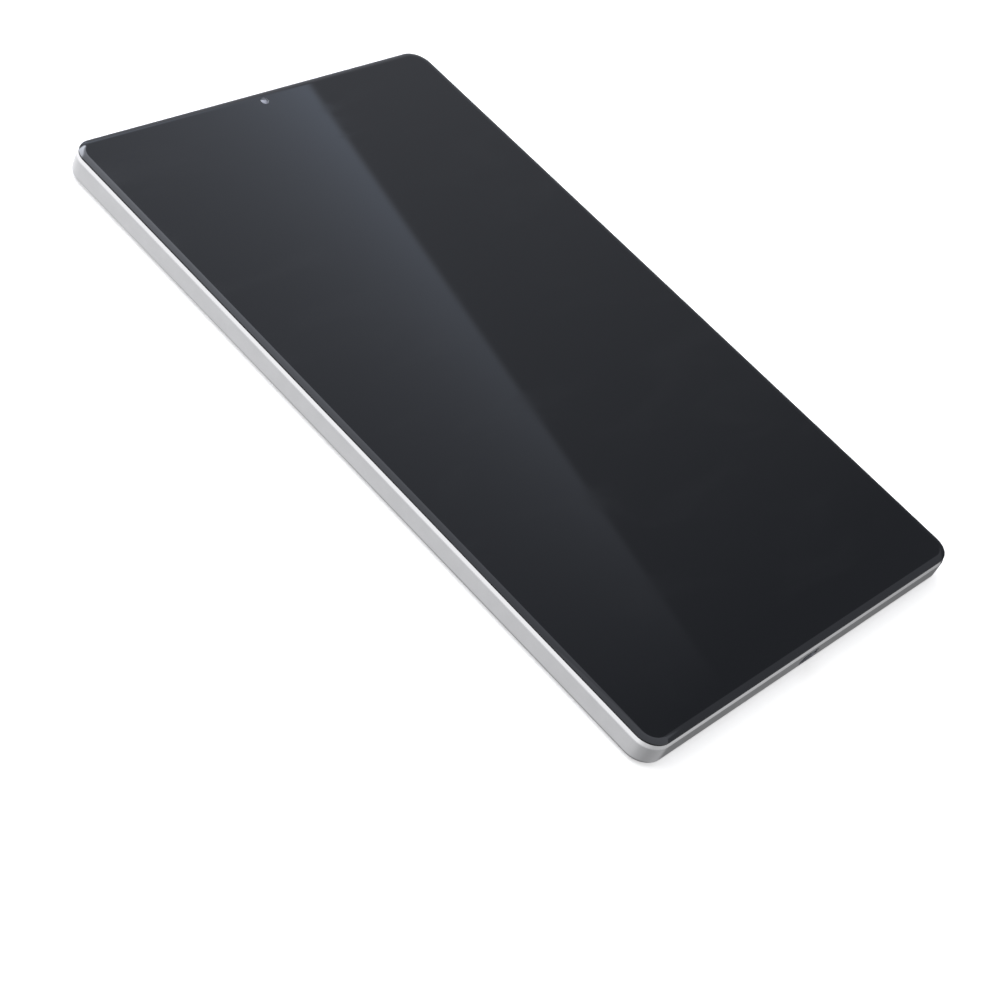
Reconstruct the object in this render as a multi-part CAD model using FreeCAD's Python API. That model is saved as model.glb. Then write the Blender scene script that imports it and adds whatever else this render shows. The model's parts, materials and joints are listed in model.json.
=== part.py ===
"""Tablet computer, ten-inch class, built as the pieces it comes apart into.

Frame: origin at the middle of the rear panel's outer face, +Z out of the screen, +Y towards the short edge
with the front camera, +X towards the long edge with the keys and the card tray. All sizes in millimetres.
"""
import FreeCAD, Part
import os

V = FreeCAD.Vector
X_DIR, Y_DIR, Z_DIR = V(1, 0, 0), V(0, 1, 0), V(0, 0, 1)
ORIGIN = V(0, 0, 0)
same_place = 1e-4          # two points nearer than this are one

# ---- overall ----
body_width = 149.0
body_length = 248.0
body_thickness = 8.5
corner_radius = 7.0

# ---- side frame ----
side_wall = 2.2            # wall below the mid plate
upper_wall = 1.5           # wall beside the display, so the plate rests on a step
back_round = 1.2           # round between the side and the rear face
facet_height = 1.3         # steep polished facet under the glass
facet_inset = 0.4
rear_rim = 1.95            # frame seen from behind, outside the rear panel
flange_reach = 2.0         # rear flange, inwards from the wall
flange_thickness = 0.6
gusset_size = 8.0
gusset_thickness = 1.0
gusset_screw_reach = 4.2   # screw's middle, inwards from the wall

# ---- front stack ----
glass_thickness = 0.75
glass_inset = 0.45
glass_wall = 0.35          # upright part of the glass edge
glass_curve_width = 2.0    # the rest of the edge curves over to the flat
gasket_thickness = 0.15
gasket_inset = 0.6
gasket_clearance = 0.05
bond_thickness = 0.15
cell_thickness = 0.7
backlight_thickness = 1.15
foam_thickness = 0.2
foam_width = 2.0
side_bezel = 3.9           # outside of the tablet to the display cell
top_bezel = 9.5
bottom_bezel = 13.0
backlight_margin = 0.3     # the backlight stands this far outside the cell
cell_corner = 0.5

# ---- mid plate ----
plate_thickness = 0.6
plate_clearance = 0.05
boss_height = 0.2
boss_radius = 1.8

# ---- rear stack ----
panel_thickness = 0.9
panel_gap = 0.08
panel_edge_round = 0.25
rear_tape_thickness = 0.15
rear_tape_width = 1.6
sheet_thickness = 0.1
sheet_margin = 8.0
sheet_bottom = 20.0
sheet_top = 36.0

# ---- screws ----
screw_radius = 0.7
screw_head_radius = 1.35
screw_head_height = 0.5
screw_clearance = 0.03

# ---- boards ----
board_thickness = 0.8
board_bracket_gap = 0.4    # between the key bracket and the board
board_left_inset = 24.5
board_speaker_gap = 0.45
board_top_depth = 17.0
board_strip_width = 30.0
board_strip_overrun = 6.0  # board below the card tray
part_gap = 0.5
sub_left_inset = 29.5
sub_right_inset = 12.5
sub_board_gap = 0.5
sub_board_inner = 17.0
can_height = 1.75
can_wall = 0.2
chip_height = 0.9

# ---- battery ----
battery_tape_thickness = 0.15
battery_rear_gap = 0.45    # between the cells and the rear panel
battery_gap = 1.5
battery_side_gap = 0.7
battery_corner = 2.0
battery_edge_round = 0.6
battery_board_depth = 3.5
battery_board_thickness = 1.2
battery_board_length = 50.0
tape_strip_width = 16.0
tape_strip_inset = 8.0

# ---- flat cables ----
flex_thickness = 0.1
link_flex_width = 14.0
display_flex_width = 24.0
lead_width = 8.0
lead_centre = 10.0
flex_landing = 4.0

# ---- side keys, on the +X edge ----
key_height = 2.3
key_centre_z = 3.7
key_proud = 0.4
key_gap = 0.1
key_end_gap = 0.15
key_edge_round = 0.2
rocker_length = 21.6
rocker_from_top = 51.0
power_length = 13.0
power_from_top = 76.3
key_flange_extra = 0.8
key_flange_thickness = 0.5
rocker_flange_gap = 0.3
power_flange_gap = 0.05
nub_reach = 0.4            # how far a finger stands behind the rocker's flange
nub_width = 1.6
rocker_nub_inset = 2.6
press_gap = 0.28
dome_height = 0.25
dome_radius = 0.9
switch_thickness = 0.45
switch_length = 3.2
switch_height = 2.0
key_flex_thickness = 0.12
bracket_thickness = 0.4
bracket_foot = 3.0
bracket_drop = 2.6
fulcrum_reach = 0.2        # pivot's middle, behind the rocker's flange
fulcrum_radius = 0.6
fulcrum_gap = 0.03
post_width = 1.2
post_gap = 0.2

# ---- microphone ----
mic_from_top = 94.0
mic_hole_radius = 0.4
mic_length = 3.5
mic_depth = 3.0
mic_height = 1.0
mic_hole_drop = 0.8        # middle of the hole, below the board
boot_width = 3.2
boot_height = 1.5

# ---- card tray ----
tray_from_top = 131.5
tray_head_length = 19.4
tray_head_height = 2.5
tray_head_depth = 1.2
tray_gap = 0.1
tray_recess_depth = 1.8
tray_seal_depth = 0.5
tray_seal_inset = 0.15
carrier_length = 27.5
carrier_width = 14.8
carrier_thickness = 0.7
carrier_gap = 0.2
carrier_bar = 1.15
memory_pocket = (15.2, 11.2)
sim_pocket = (9.0, 12.5)
eject_radius = 0.45
eject_inset = 1.7
eject_gap = 0.05
reader_height = 1.6
reader_wall = 0.15
reader_start_gap = 0.3
reader_end_gap = 1.3
reader_side_gap = 1.2
reader_base_thickness = 0.2

# ---- USB-C receptacle, on the -Y edge ----
usb_centre_z = 3.2
usb_open_width = 8.34
usb_open_height = 2.56
usb_wall = 0.35
usb_length = 7.4
usb_recess = 0.7
usb_gap = 0.12
usb_base_depth = 2.2
usb_tab_reach = 1.2
usb_tab_width = 1.0
usb_tab_thickness = 0.2
usb_tab_inset = 1.5
tongue_width = 6.69
tongue_thickness = 0.7
tongue_length = 4.4
contact_count = 12
contact_pitch = 0.5
contact_width = 0.25
contact_length = 3.4
contact_thickness = 0.06

# ---- speakers, behind the +Y edge ----
speaker_side_inset = 24.5
speaker_length = 27.5
speaker_depth = 14.8
speaker_front_gap = 0.35
speaker_rear_gap = 0.1
speaker_port_length = 17.0
speaker_port_height = 1.8
speaker_port_depth = 2.0
cone_radius = 5.5
cone_depth = 0.5
speaker_hole_radius = 0.55
speaker_hole_pitch = 2.1
speaker_hole_count = 8
speaker_hole_z = 3.3
mesh_thickness = 0.3
mesh_length = 18.6
mesh_height = 2.6

# ---- rear camera bump ----
camera_side_inset = 17.6
camera_top_inset = 20.6
lens_spacing = 11.0
window_width = 11.4
window_length = 23.3
window_thickness = 0.6
window_gap = 0.05
window_recess = 0.08
trim_wall = 0.7
trim_proud = 0.8
trim_edge_round = 0.25
trim_flange = 0.8
trim_flange_thickness = 0.5
trim_ledge = 0.7
trim_gap = 0.08
ring_radius = 3.5
ring_width = 0.45
ring_gap = 0.02
ring_proud = 0.04
lens_cover_gap = 0.02
lens_cover_recess = 0.05
lens_aperture = 2.3
lens_seat_thickness = 0.15
camera_body = 8.6
camera_body_round = 0.8
camera_barrel_radius = 3.0
camera_barrel_bore = 2.1
camera_barrel_bore_depth = 0.5
camera_barrel_gap = 0.12
flash_holder = 5.0
flash_led_size = 2.6
flash_led_height = 0.5

# ---- front camera ----
front_camera_gap = 0.1
front_body = (6.4, 4.2)
front_body_height = 3.4
front_barrel_radius = 1.9
front_window_gap = 0.2
front_barrel_height = 0.4
front_lens_radius = 0.9
front_lens_depth = 0.15

# ---- antennas ----
antenna_inset = 8.0
antenna_length = 30.0
antenna_depth = 20.0
antenna_lower_depth = 9.0

# ---- places that follow from the sizes above ----
half_width = body_width / 2
half_length = body_length / 2
flange_inner = side_wall + flange_reach
gusset_screw_inset = side_wall + gusset_screw_reach
glass_bottom = body_thickness - glass_thickness
frame_top = glass_bottom - gasket_thickness
band_top = frame_top - facet_height
cell_top = glass_bottom - bond_thickness
cell_bottom = cell_top - cell_thickness
backlight_bottom = cell_bottom - backlight_thickness
plate_top = backlight_bottom - foam_thickness
plate_bottom = plate_top - plate_thickness
board_top = plate_bottom - boss_height
board_bottom = board_top - board_thickness
flange_bottom = panel_thickness + rear_tape_thickness
flange_top = flange_bottom + flange_thickness
battery_top = plate_bottom - battery_tape_thickness
battery_bottom = panel_thickness + battery_rear_gap

rocker_y = half_length - rocker_from_top
power_y = half_length - power_from_top
mic_y = half_length - mic_from_top
tray_y = half_length - tray_from_top
tray_z = board_bottom - reader_height / 2
mic_z = board_bottom - mic_hole_drop
flange_back_inset = side_wall + rocker_flange_gap + key_flange_thickness
nub_tip_inset = flange_back_inset + nub_reach
fulcrum_inset = flange_back_inset + fulcrum_reach
dome_tip_inset = nub_tip_inset + press_gap
switch_face_inset = dome_tip_inset + dome_height
key_flex_inset = switch_face_inset + switch_thickness
bracket_inset = key_flex_inset + key_flex_thickness

camera_x = half_width - camera_side_inset
camera_y = half_length - camera_top_inset
lens_y = camera_y + lens_spacing / 2
flash_y = camera_y - lens_spacing / 2
trim_bottom = -trim_proud
window_bottom = trim_bottom + window_recess
window_top = window_bottom + window_thickness
lens_seat = window_top - lens_seat_thickness
front_camera_y = half_length - side_wall - front_camera_gap - front_body[1] / 2

board_right = half_width - bracket_inset - bracket_thickness - board_bracket_gap
board_left = board_left_inset - half_width
board_upper = half_length - side_wall - speaker_front_gap - speaker_depth - board_speaker_gap
board_lower = board_upper - board_top_depth
strip_left = board_right - board_strip_width
strip_end = tray_y - tray_head_length / 2 - board_strip_overrun
camera_notch_x = camera_x - camera_body / 2 - part_gap
camera_notch_y = lens_y - camera_body / 2 - part_gap
sub_left = sub_left_inset - half_width
sub_right = half_width - sub_right_inset
display_flex_left = sub_left + 2 * (screw_head_radius + part_gap)
sub_outer_y = side_wall + sub_board_gap - half_length
sub_inner_y = sub_board_inner - half_length
usb_mouth_y = usb_recess - half_length
usb_back_y = usb_mouth_y + usb_length
usb_width = usb_open_width + 2 * usb_wall
usb_height = usb_open_height + 2 * usb_wall

cell_width = body_width - 2 * side_bezel
cell_low_y = bottom_bezel - half_length
cell_high_y = half_length - top_bezel
battery_side = half_width - flange_inner - battery_side_gap
lower_cell_low = sub_inner_y + 2 * battery_gap
lower_cell_high = strip_end - battery_gap - flex_thickness
upper_cell_low = lower_cell_high + battery_gap
upper_cell_right = strip_left - battery_gap
battery_board_y = board_lower - battery_gap - battery_board_depth
upper_cell_high = battery_board_y - battery_edge_round


# ---- basic shapes ----
def block(x0, x1, y0, y1, z0, z1):
    """Box between three pairs of limits."""
    return Part.makeBox(x1 - x0, y1 - y0, z1 - z0, V(x0, y0, z0))


def rod(radius, x, y, z0, z1):
    """Upright cylinder."""
    return Part.makeCylinder(radius, z1 - z0, V(x, y, z0))


def rod_x(radius, x0, x1, y, z):
    """Cylinder along X."""
    return Part.makeCylinder(radius, x1 - x0, V(x0, y, z), X_DIR)


def outline(width, length, radius):
    """Closed wire round a rectangle with rounded corners, centred on the origin."""
    corners = ((1, 1), (-1, 1), (-1, -1), (1, -1))
    arcs = []
    for turn, (sx, sy) in enumerate(corners):
        centre = V(sx * (width / 2 - radius), sy * (length / 2 - radius), 0)
        arcs.append(Part.makeCircle(radius, centre, Z_DIR, 90 * turn, 90 * turn + 90))
    edges = []
    for arc, following in zip(arcs, arcs[1:] + arcs[:1]):
        edges.append(arc)
        start, end = arc.valueAt(arc.LastParameter), following.valueAt(following.FirstParameter)
        if start.distanceToPoint(end) > same_place:
            edges.append(Part.makeLine(start, end))
    return Part.Wire(edges)


def slab(width, length, radius, z0, z1, x=0.0, y=0.0):
    """Plate with rounded corners."""
    plate = Part.Face(outline(width, length, radius)).extrude(V(0, 0, z1 - z0))
    plate.translate(V(x, y, z0))
    return plate


def inset_slab(inset, z0, z1):
    """Plate that follows the tablet's outline, a given distance inside it."""
    return slab(body_width - 2 * inset, body_length - 2 * inset, corner_radius - inset, z0, z1)


def pill(width, length, z0, z1, x, y):
    """Plate with fully round ends."""
    return slab(width, length, min(width, length) / 2, z0, z1, x, y)


def pill_x(length, height, x0, x1, y, z):
    """Bar along X whose section is a pill, long in Y."""
    bar = slab(height, length, height / 2, 0, x1 - x0)
    bar.rotate(ORIGIN, Y_DIR, 90)
    bar.translate(V(x0, y, z))
    return bar


def pill_y(length, height, y0, y1, x, z):
    """Bar along Y whose section is a pill, long in X."""
    bar = slab(length, height, height / 2, 0, y1 - y0)
    bar.rotate(ORIGIN, X_DIR, -90)
    bar.translate(V(x, y0, z))
    return bar


def join(shapes):
    """One solid from pieces that touch or overlap."""
    return shapes[0].multiFuse(shapes[1:]).removeSplitter()


def profile_face(edges):
    """Face in the XZ plane from edges in order."""
    return Part.Face(Part.Wire(edges))


def line(x0, z0, x1, z1):
    """Straight edge in the XZ plane."""
    return Part.makeLine(V(x0, 0, z0), V(x1, 0, z1))


def arc(start, middle, end):
    """Arc through three points (x, z) in the XZ plane."""
    points = [V(x, 0, z) for x, z in (start, middle, end)]
    return Part.Arc(*points).toShape()


def quarter_arc(centre, radius, angle):
    """Quarter circle in the XZ plane that starts at an angle in degrees."""
    points = []
    for step in (0, 45, 90):
        reach = FreeCAD.Rotation(Y_DIR, -(angle + step)).multVec(V(radius, 0, 0))
        points.append((centre[0] + reach.x, centre[1] + reach.z))
    return arc(*points)


def edged_slab(width, length, radius, face):
    """Plate whose edge has one profile all round.

    The face lies in the XZ plane, from the corner's centre at x = 0 out to x = radius. It is turned a quarter
    round each corner and run straight along each side.
    """
    across, along = width / 2 - radius, length / 2 - radius
    box = face.BoundBox
    pieces = [block(-across, across, -along, along, box.ZMin, box.ZMax)]
    corners = ((across, along), (-across, along), (-across, -along), (across, -along))
    runs = (2 * across, 2 * along, 2 * across, 2 * along)
    for turn, ((x, y), run) in enumerate(zip(corners, runs)):
        corner = face.revolve(ORIGIN, Z_DIR, 90)
        side = face.extrude(V(0, run, 0))
        side.rotate(ORIGIN, Z_DIR, 90)
        for piece in (corner, side):
            piece.rotate(ORIGIN, Z_DIR, 90 * turn)
            piece.translate(V(x, y, 0))
            pieces.append(piece)
    return join(pieces)


def edges_on_plane(shape, axis, value):
    """Edges that lie on one plane, such as axis "z" at a height."""
    low, high = axis.upper() + "Min", axis.upper() + "Max"
    on_plane = []
    for edge in shape.Edges:
        box = edge.BoundBox
        if abs(getattr(box, low) - value) < same_place and abs(getattr(box, high) - value) < same_place:
            on_plane.append(edge)
    return on_plane


def strip_path(x0, x1, points):
    """Flat cable of constant width along X that runs through (y, z) points on its middle plane."""
    half = flex_thickness / 2
    runs = []
    for (y0, z0), (y1, z1) in zip(points, points[1:]):
        runs.append(block(x0, x1, min(y0, y1) - half, max(y0, y1) + half,
                          min(z0, z1) - half, max(z0, z1) + half))
    return join(runs)


# ---- screws ----
def corner_screw_places():
    """Four screws that hold the mid plate to the frame's corner gussets."""
    x, y = half_width - gusset_screw_inset, half_length - gusset_screw_inset
    return [(sx * x, sy * y) for sx in (-1, 1) for sy in (-1, 1)]


def board_screw_places():
    """Screws that hold the two boards under the mid plate."""
    edge = screw_head_radius + part_gap
    upper = board_upper - edge
    main = [(board_left + edge, upper), (speaker_side_inset - half_width + speaker_length, upper),
            (strip_left + edge, strip_end + edge), (board_right - edge, strip_end + edge),
            (strip_left + edge, board_lower - edge)]
    sub = [(sub_left + edge, sub_inner_y - edge), (sub_right - edge, sub_inner_y - edge)]
    return main + sub


def plate_screws():
    screws = []
    for x, y in corner_screw_places():
        head = rod(screw_head_radius, x, y, plate_top, plate_top + screw_head_height)
        shank = rod(screw_radius, x, y, plate_bottom - gusset_thickness, plate_top)
        screws.append(join([head, shank]))
    return Part.Compound(screws)


def board_screws():
    screws = []
    for x, y in board_screw_places():
        head = rod(screw_head_radius, x, y, board_bottom - screw_head_height, board_bottom)
        shank = rod(screw_radius, x, y, board_bottom, plate_top)
        screws.append(join([head, shank]))
    return Part.Compound(screws)


def screw_holes(places, z0, z1):
    holes = [rod(screw_radius + screw_clearance, x, y, z0, z1) for x, y in places]
    return Part.Compound(holes)


# ---- side frame ----
def frame_profile():
    """Outer edge of the side frame: round at the rear, upright band, steep facet at the front."""
    far = corner_radius
    return profile_face([
        line(0, 0, far - back_round, 0),
        quarter_arc((far - back_round, back_round), back_round, -90),
        line(far, back_round, far, band_top),
        line(far, band_top, far - facet_inset, frame_top),
        line(far - facet_inset, frame_top, 0, frame_top),
        line(0, frame_top, 0, 0),
    ])


def gussets():
    """Blocks in the frame's inner corners, under the mid plate."""
    low = plate_bottom - gusset_thickness
    reach = side_wall + gusset_size
    room = inset_slab(side_wall / 2, low, plate_bottom)
    blocks = []
    for sx in (-1, 1):
        for sy in (-1, 1):
            xs = sorted((sx * half_width, sx * (half_width - reach)))
            ys = sorted((sy * half_length, sy * (half_length - reach)))
            blocks.append(block(*xs, *ys, low, plate_bottom).common(room))
    return blocks


def key_slots():
    inner = half_width - side_wall - key_gap
    slots = []
    for length, y in ((rocker_length, rocker_y), (power_length, power_y)):
        slots.append(pill_x(length + 2 * key_end_gap, key_height + 2 * key_gap,
                            inner, half_width + key_proud, y, key_centre_z))
    return slots


def tray_slot():
    """Recess for the tray's head, slot for its carrier and hole for the eject pin."""
    recess = pill_x(tray_head_length + 2 * tray_gap, tray_head_height + 2 * tray_gap,
                    half_width - tray_recess_depth, half_width + tray_gap, tray_y, tray_z)
    half = carrier_width / 2 + carrier_gap
    rise = carrier_thickness / 2 + carrier_gap
    slot = block(half_width - side_wall - tray_gap, half_width, tray_y - half, tray_y + half,
                 tray_z - rise, tray_z + rise)
    eject = rod_x(eject_radius + eject_gap, half_width - side_wall - tray_gap, half_width, eject_y(), tray_z)
    return [recess, slot, eject]


def eject_y():
    return tray_y + tray_head_length / 2 - eject_inset


def usb_port():
    """Hole through the end wall, and relief in the rear flange for the receptacle."""
    hole = pill_y(usb_width + 2 * usb_gap, usb_height + 2 * usb_gap, -half_length - usb_gap,
                  side_wall + usb_gap - half_length, 0, usb_centre_z)
    relief = block(-usb_width / 2 - usb_gap, usb_width / 2 + usb_gap, -half_length + side_wall - usb_gap,
                   -half_length + flange_inner + usb_gap, usb_centre_z - usb_height / 2 - usb_gap,
                   usb_centre_z)
    return [hole, relief]


def speaker_centres():
    middle = half_width - speaker_side_inset - speaker_length / 2
    return (-middle, middle)


def speaker_holes():
    holes = []
    for middle in speaker_centres():
        for step in range(speaker_hole_count):
            x = middle + (step - (speaker_hole_count - 1) / 2) * speaker_hole_pitch
            base = V(x, half_length - side_wall - mesh_thickness, speaker_hole_z)
            holes.append(Part.makeCylinder(speaker_hole_radius, side_wall + 2 * mesh_thickness, base, Y_DIR))
    return holes


def side_frame():
    blank = edged_slab(body_width, body_length, corner_radius, frame_profile())
    hollow = [inset_slab(upper_wall, plate_bottom, frame_top + gasket_thickness),
              inset_slab(side_wall, flange_top, plate_bottom),
              inset_slab(flange_inner, panel_thickness, flange_top),
              inset_slab(rear_rim, -panel_thickness, flange_bottom)]
    ring = blank.cut(hollow)
    ring = join([ring] + gussets())
    mic_hole = rod_x(mic_hole_radius, half_width - side_wall - key_gap, half_width + key_gap, mic_y, mic_z)
    openings = key_slots() + tray_slot() + usb_port() + speaker_holes() + [mic_hole]
    openings.append(screw_holes(corner_screw_places(), plate_bottom - gusset_thickness, plate_bottom))
    return ring.cut(openings)


# ---- front stack ----
def cover_glass():
    """Glass with an upright edge that curves over to the flat."""
    radius = corner_radius - glass_inset
    shoulder = glass_bottom + glass_wall
    drop = body_thickness - shoulder
    sweep = (glass_curve_width ** 2 + drop ** 2) / (2 * drop)
    middle_x = glass_curve_width / 2
    middle_z = body_thickness - sweep + (sweep ** 2 - middle_x ** 2) ** 0.5
    face = profile_face([
        line(0, glass_bottom, radius, glass_bottom),
        line(radius, glass_bottom, radius, shoulder),
        arc((radius, shoulder), (radius - middle_x, middle_z), (radius - glass_curve_width, body_thickness)),
        line(radius - glass_curve_width, body_thickness, 0, body_thickness),
        line(0, body_thickness, 0, glass_bottom),
    ])
    return edged_slab(body_width - 2 * glass_inset, body_length - 2 * glass_inset, radius, face)


def glass_gasket():
    outer = inset_slab(gasket_inset, frame_top, glass_bottom)
    return outer.cut(inset_slab(upper_wall - gasket_clearance, frame_top, glass_bottom))


def display_plate(margin, z0, z1):
    """Plate with the display cell's outline, grown by a margin."""
    length = cell_high_y - cell_low_y + 2 * margin
    return slab(cell_width + 2 * margin, length, cell_corner, z0, z1,
                0.0, (cell_high_y + cell_low_y) / 2)


def optical_adhesive():
    return display_plate(-backlight_margin, cell_top, glass_bottom)


def lcd_cell():
    return display_plate(0.0, cell_bottom, cell_top)


def backlight_unit():
    return display_plate(backlight_margin, backlight_bottom, cell_bottom)


def display_foam():
    """Foam frame under the backlight, open at the lower end where the display's cable passes."""
    outer = display_plate(backlight_margin, plate_top, backlight_bottom)
    inner = display_plate(backlight_margin - foam_width, plate_top, backlight_bottom)
    passage = block(display_flex_left - part_gap, display_flex_left + display_flex_width + part_gap,
                    cell_low_y - foam_width, cell_low_y + foam_width, plate_top, backlight_bottom)
    return outer.cut([inner, passage])


# ---- mid plate ----
def mid_plate():
    plate = inset_slab(upper_wall + plate_clearance, plate_bottom, plate_top)
    bosses = [rod(boss_radius, x, y, board_top, plate_bottom) for x, y in board_screw_places()]
    plate = join([plate] + bosses)
    half_x = front_body[0] / 2 + front_window_gap
    half_y = front_body[1] / 2 + front_window_gap
    window = block(-half_x, half_x, front_camera_y - half_y, front_camera_y + half_y, plate_bottom, plate_top)
    slot = block(display_flex_left - part_gap, display_flex_left + display_flex_width + part_gap,
                 display_slot_y() - part_gap, display_slot_y() + part_gap, plate_bottom, plate_top)
    holes = screw_holes(corner_screw_places() + board_screw_places(), board_top, plate_top)
    return plate.cut([window, slot, holes])


def display_slot_y():
    """Middle of the slot that takes the display's cable through the mid plate."""
    return sub_inner_y + battery_gap


# ---- rear stack ----
def camera_pill(margin, z0, z1):
    """Pill concentric with the camera window, grown by a margin."""
    return pill(window_width + 2 * margin, window_length + 2 * margin, z0, z1, camera_x, camera_y)


def rear_panel():
    radius = corner_radius - rear_rim - panel_gap
    face = profile_face([
        line(0, 0, radius - panel_edge_round, 0),
        quarter_arc((radius - panel_edge_round, panel_edge_round), panel_edge_round, -90),
        line(radius, panel_edge_round, radius, panel_thickness),
        line(radius, panel_thickness, 0, panel_thickness),
        line(0, panel_thickness, 0, 0),
    ])
    shrink = 2 * (rear_rim + panel_gap)
    plate = edged_slab(body_width - shrink, body_length - shrink, radius, face)
    return plate.cut(camera_pill(window_gap + trim_wall + trim_gap, -panel_thickness, 2 * panel_thickness))


def rear_gasket():
    start = rear_rim + panel_gap + panel_edge_round
    outer = inset_slab(start, panel_thickness, flange_bottom)
    return outer.cut(inset_slab(start + rear_tape_width, panel_thickness, flange_bottom))


def graphite_sheet():
    reach = half_width - sheet_margin
    return block(-reach, reach, sheet_bottom - half_length, half_length - sheet_top,
                 panel_thickness, panel_thickness + sheet_thickness)


def upper_antenna():
    left = antenna_inset - half_width
    top = half_length - antenna_inset
    return block(left, left + antenna_length, top - antenna_depth, top,
                 panel_thickness, panel_thickness + sheet_thickness)


def lower_antenna():
    right = half_width - antenna_inset
    low = antenna_inset - half_length
    return block(right - antenna_length, right, low, low + antenna_lower_depth,
                 panel_thickness, panel_thickness + sheet_thickness)


# ---- rear camera bump ----
def camera_trim():
    """Metal surround: a wall that stands out of the rear panel, a ledge for the window, an inner flange."""
    outer = window_gap + trim_wall
    flange_low, flange_high = panel_thickness, panel_thickness + trim_flange_thickness
    wall = camera_pill(outer, trim_bottom, flange_low)
    wall = wall.makeFillet(trim_edge_round, edges_on_plane(wall, "z", trim_bottom))
    flange = camera_pill(outer + trim_flange, flange_low, flange_high)
    seat = camera_pill(window_gap, trim_bottom, window_top)
    bore = camera_pill(-trim_ledge, window_top, flange_high)
    return join([wall, flange]).cut([seat, bore])


def camera_window():
    plate = camera_pill(0.0, window_bottom, window_top)
    holes = []
    for y in (lens_y, flash_y):
        holes.append(rod(ring_radius + ring_gap, camera_x, y, window_bottom, lens_seat))
        holes.append(rod(lens_aperture, camera_x, y, lens_seat, window_top))
    return plate.cut(holes)


def lens_ring(y):
    """Ring seated in the window, a little proud of it."""
    low = window_bottom - ring_proud
    outer = rod(ring_radius, camera_x, y, low, lens_seat)
    return outer.cut(rod(ring_radius - ring_width, camera_x, y, low, lens_seat))


def camera_ring():
    return lens_ring(lens_y)


def flash_ring():
    return lens_ring(flash_y)


def lens_disc(y):
    """Round cover inside a ring."""
    return rod(ring_radius - ring_width - lens_cover_gap, camera_x, y,
               window_bottom + lens_cover_recess, lens_seat)


def camera_lens_cover():
    return lens_disc(lens_y)


def flash_lens():
    return lens_disc(flash_y)


def rear_camera_module():
    barrel_low = window_top + camera_barrel_gap
    shoulder = panel_thickness + trim_flange_thickness + camera_barrel_gap
    body = slab(camera_body, camera_body, camera_body_round, shoulder, plate_bottom, camera_x, lens_y)
    barrel = rod(camera_barrel_radius, camera_x, lens_y, barrel_low, shoulder)
    bore = rod(camera_barrel_bore, camera_x, lens_y, barrel_low, barrel_low + camera_barrel_bore_depth)
    return join([body, barrel]).cut(bore)


def flash_led():
    """Holder on the board with the lamp's emitter at its tip."""
    low = panel_thickness + trim_flange_thickness + camera_barrel_gap
    holder = slab(flash_holder, flash_holder, camera_body_round, low, board_bottom, camera_x, flash_y)
    emitter = slab(flash_led_size, flash_led_size, camera_body_round / 2, low - flash_led_height, low,
                   camera_x, flash_y)
    return join([holder, emitter])


# ---- front camera ----
def front_camera():
    shoulder = glass_bottom - front_barrel_height
    body = slab(front_body[0], front_body[1], cell_corner, shoulder - front_body_height, shoulder,
                0.0, front_camera_y)
    barrel = rod(front_barrel_radius, 0.0, front_camera_y, shoulder, glass_bottom)
    bore = rod(front_lens_radius, 0.0, front_camera_y, glass_bottom - front_lens_depth, glass_bottom)
    return join([body, barrel]).cut(bore)


# ---- battery ----
def battery_cell(x0, x1, y0, y1):
    cell = slab(x1 - x0, y1 - y0, battery_corner, battery_bottom, battery_top, (x0 + x1) / 2, (y0 + y1) / 2)
    rims = edges_on_plane(cell, "z", battery_bottom) + edges_on_plane(cell, "z", battery_top)
    return cell.makeFillet(battery_edge_round, rims)


def battery_cell_lower():
    return battery_cell(-battery_side, battery_side, lower_cell_low, lower_cell_high)


def battery_cell_upper():
    return battery_cell(-battery_side, upper_cell_right, upper_cell_low, upper_cell_high)


def battery_tape():
    """Two strips behind each cell, against the mid plate."""
    cells = ((-battery_side, battery_side, lower_cell_low, lower_cell_high),
             (-battery_side, upper_cell_right, upper_cell_low, upper_cell_high))
    strips = []
    for x0, x1, y0, y1 in cells:
        for start in (x0 + tape_strip_inset, x1 - tape_strip_inset - tape_strip_width):
            strips.append(block(start, start + tape_strip_width, y0 + tape_strip_inset,
                                y1 - tape_strip_inset, battery_top, plate_bottom))
    return Part.Compound(strips)


def battery_board():
    """Protection circuit along the upper cell's end."""
    low = battery_top - battery_board_thickness
    return block(upper_cell_right - battery_board_length, upper_cell_right,
                 battery_board_y, battery_board_y + battery_board_depth, low, battery_top)


def battery_lead():
    """Flat lead from the protection circuit to the main board."""
    half = flex_thickness / 2
    start_z = battery_top - battery_board_thickness - half
    end_z = board_bottom - half
    step_y = board_lower - battery_gap / 2
    x0 = lead_centre - lead_width / 2
    return strip_path(x0, x0 + lead_width, [
        (battery_board_y + half, start_z), (step_y, start_z),
        (step_y, end_z), (board_lower + flex_landing, end_z)])


# ---- boards ----
def main_board():
    """L-shaped board: a strip under the upper edge and one behind the keys and the card tray."""
    corners = [(board_left, board_lower), (strip_left, board_lower), (strip_left, strip_end),
               (board_right, strip_end), (board_right, camera_notch_y), (camera_notch_x, camera_notch_y),
               (camera_notch_x, board_upper), (board_left, board_upper)]
    points = [V(x, y, board_bottom) for x, y in corners]
    board = Part.Face(Part.makePolygon(points + points[:1])).extrude(V(0, 0, board_thickness))
    return board.cut(screw_holes(board_screw_places(), board_bottom, board_top))


def sub_board():
    """Lower board that carries the USB-C receptacle in a notch."""
    board = block(sub_left, sub_right, sub_outer_y, sub_inner_y, board_bottom, board_top)
    reach = usb_width / 2 + usb_gap
    notch = block(-reach, reach, sub_outer_y - usb_gap, usb_back_y + usb_gap, board_bottom, board_top)
    return board.cut([notch, screw_holes(board_screw_places(), board_bottom, board_top)])


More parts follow.
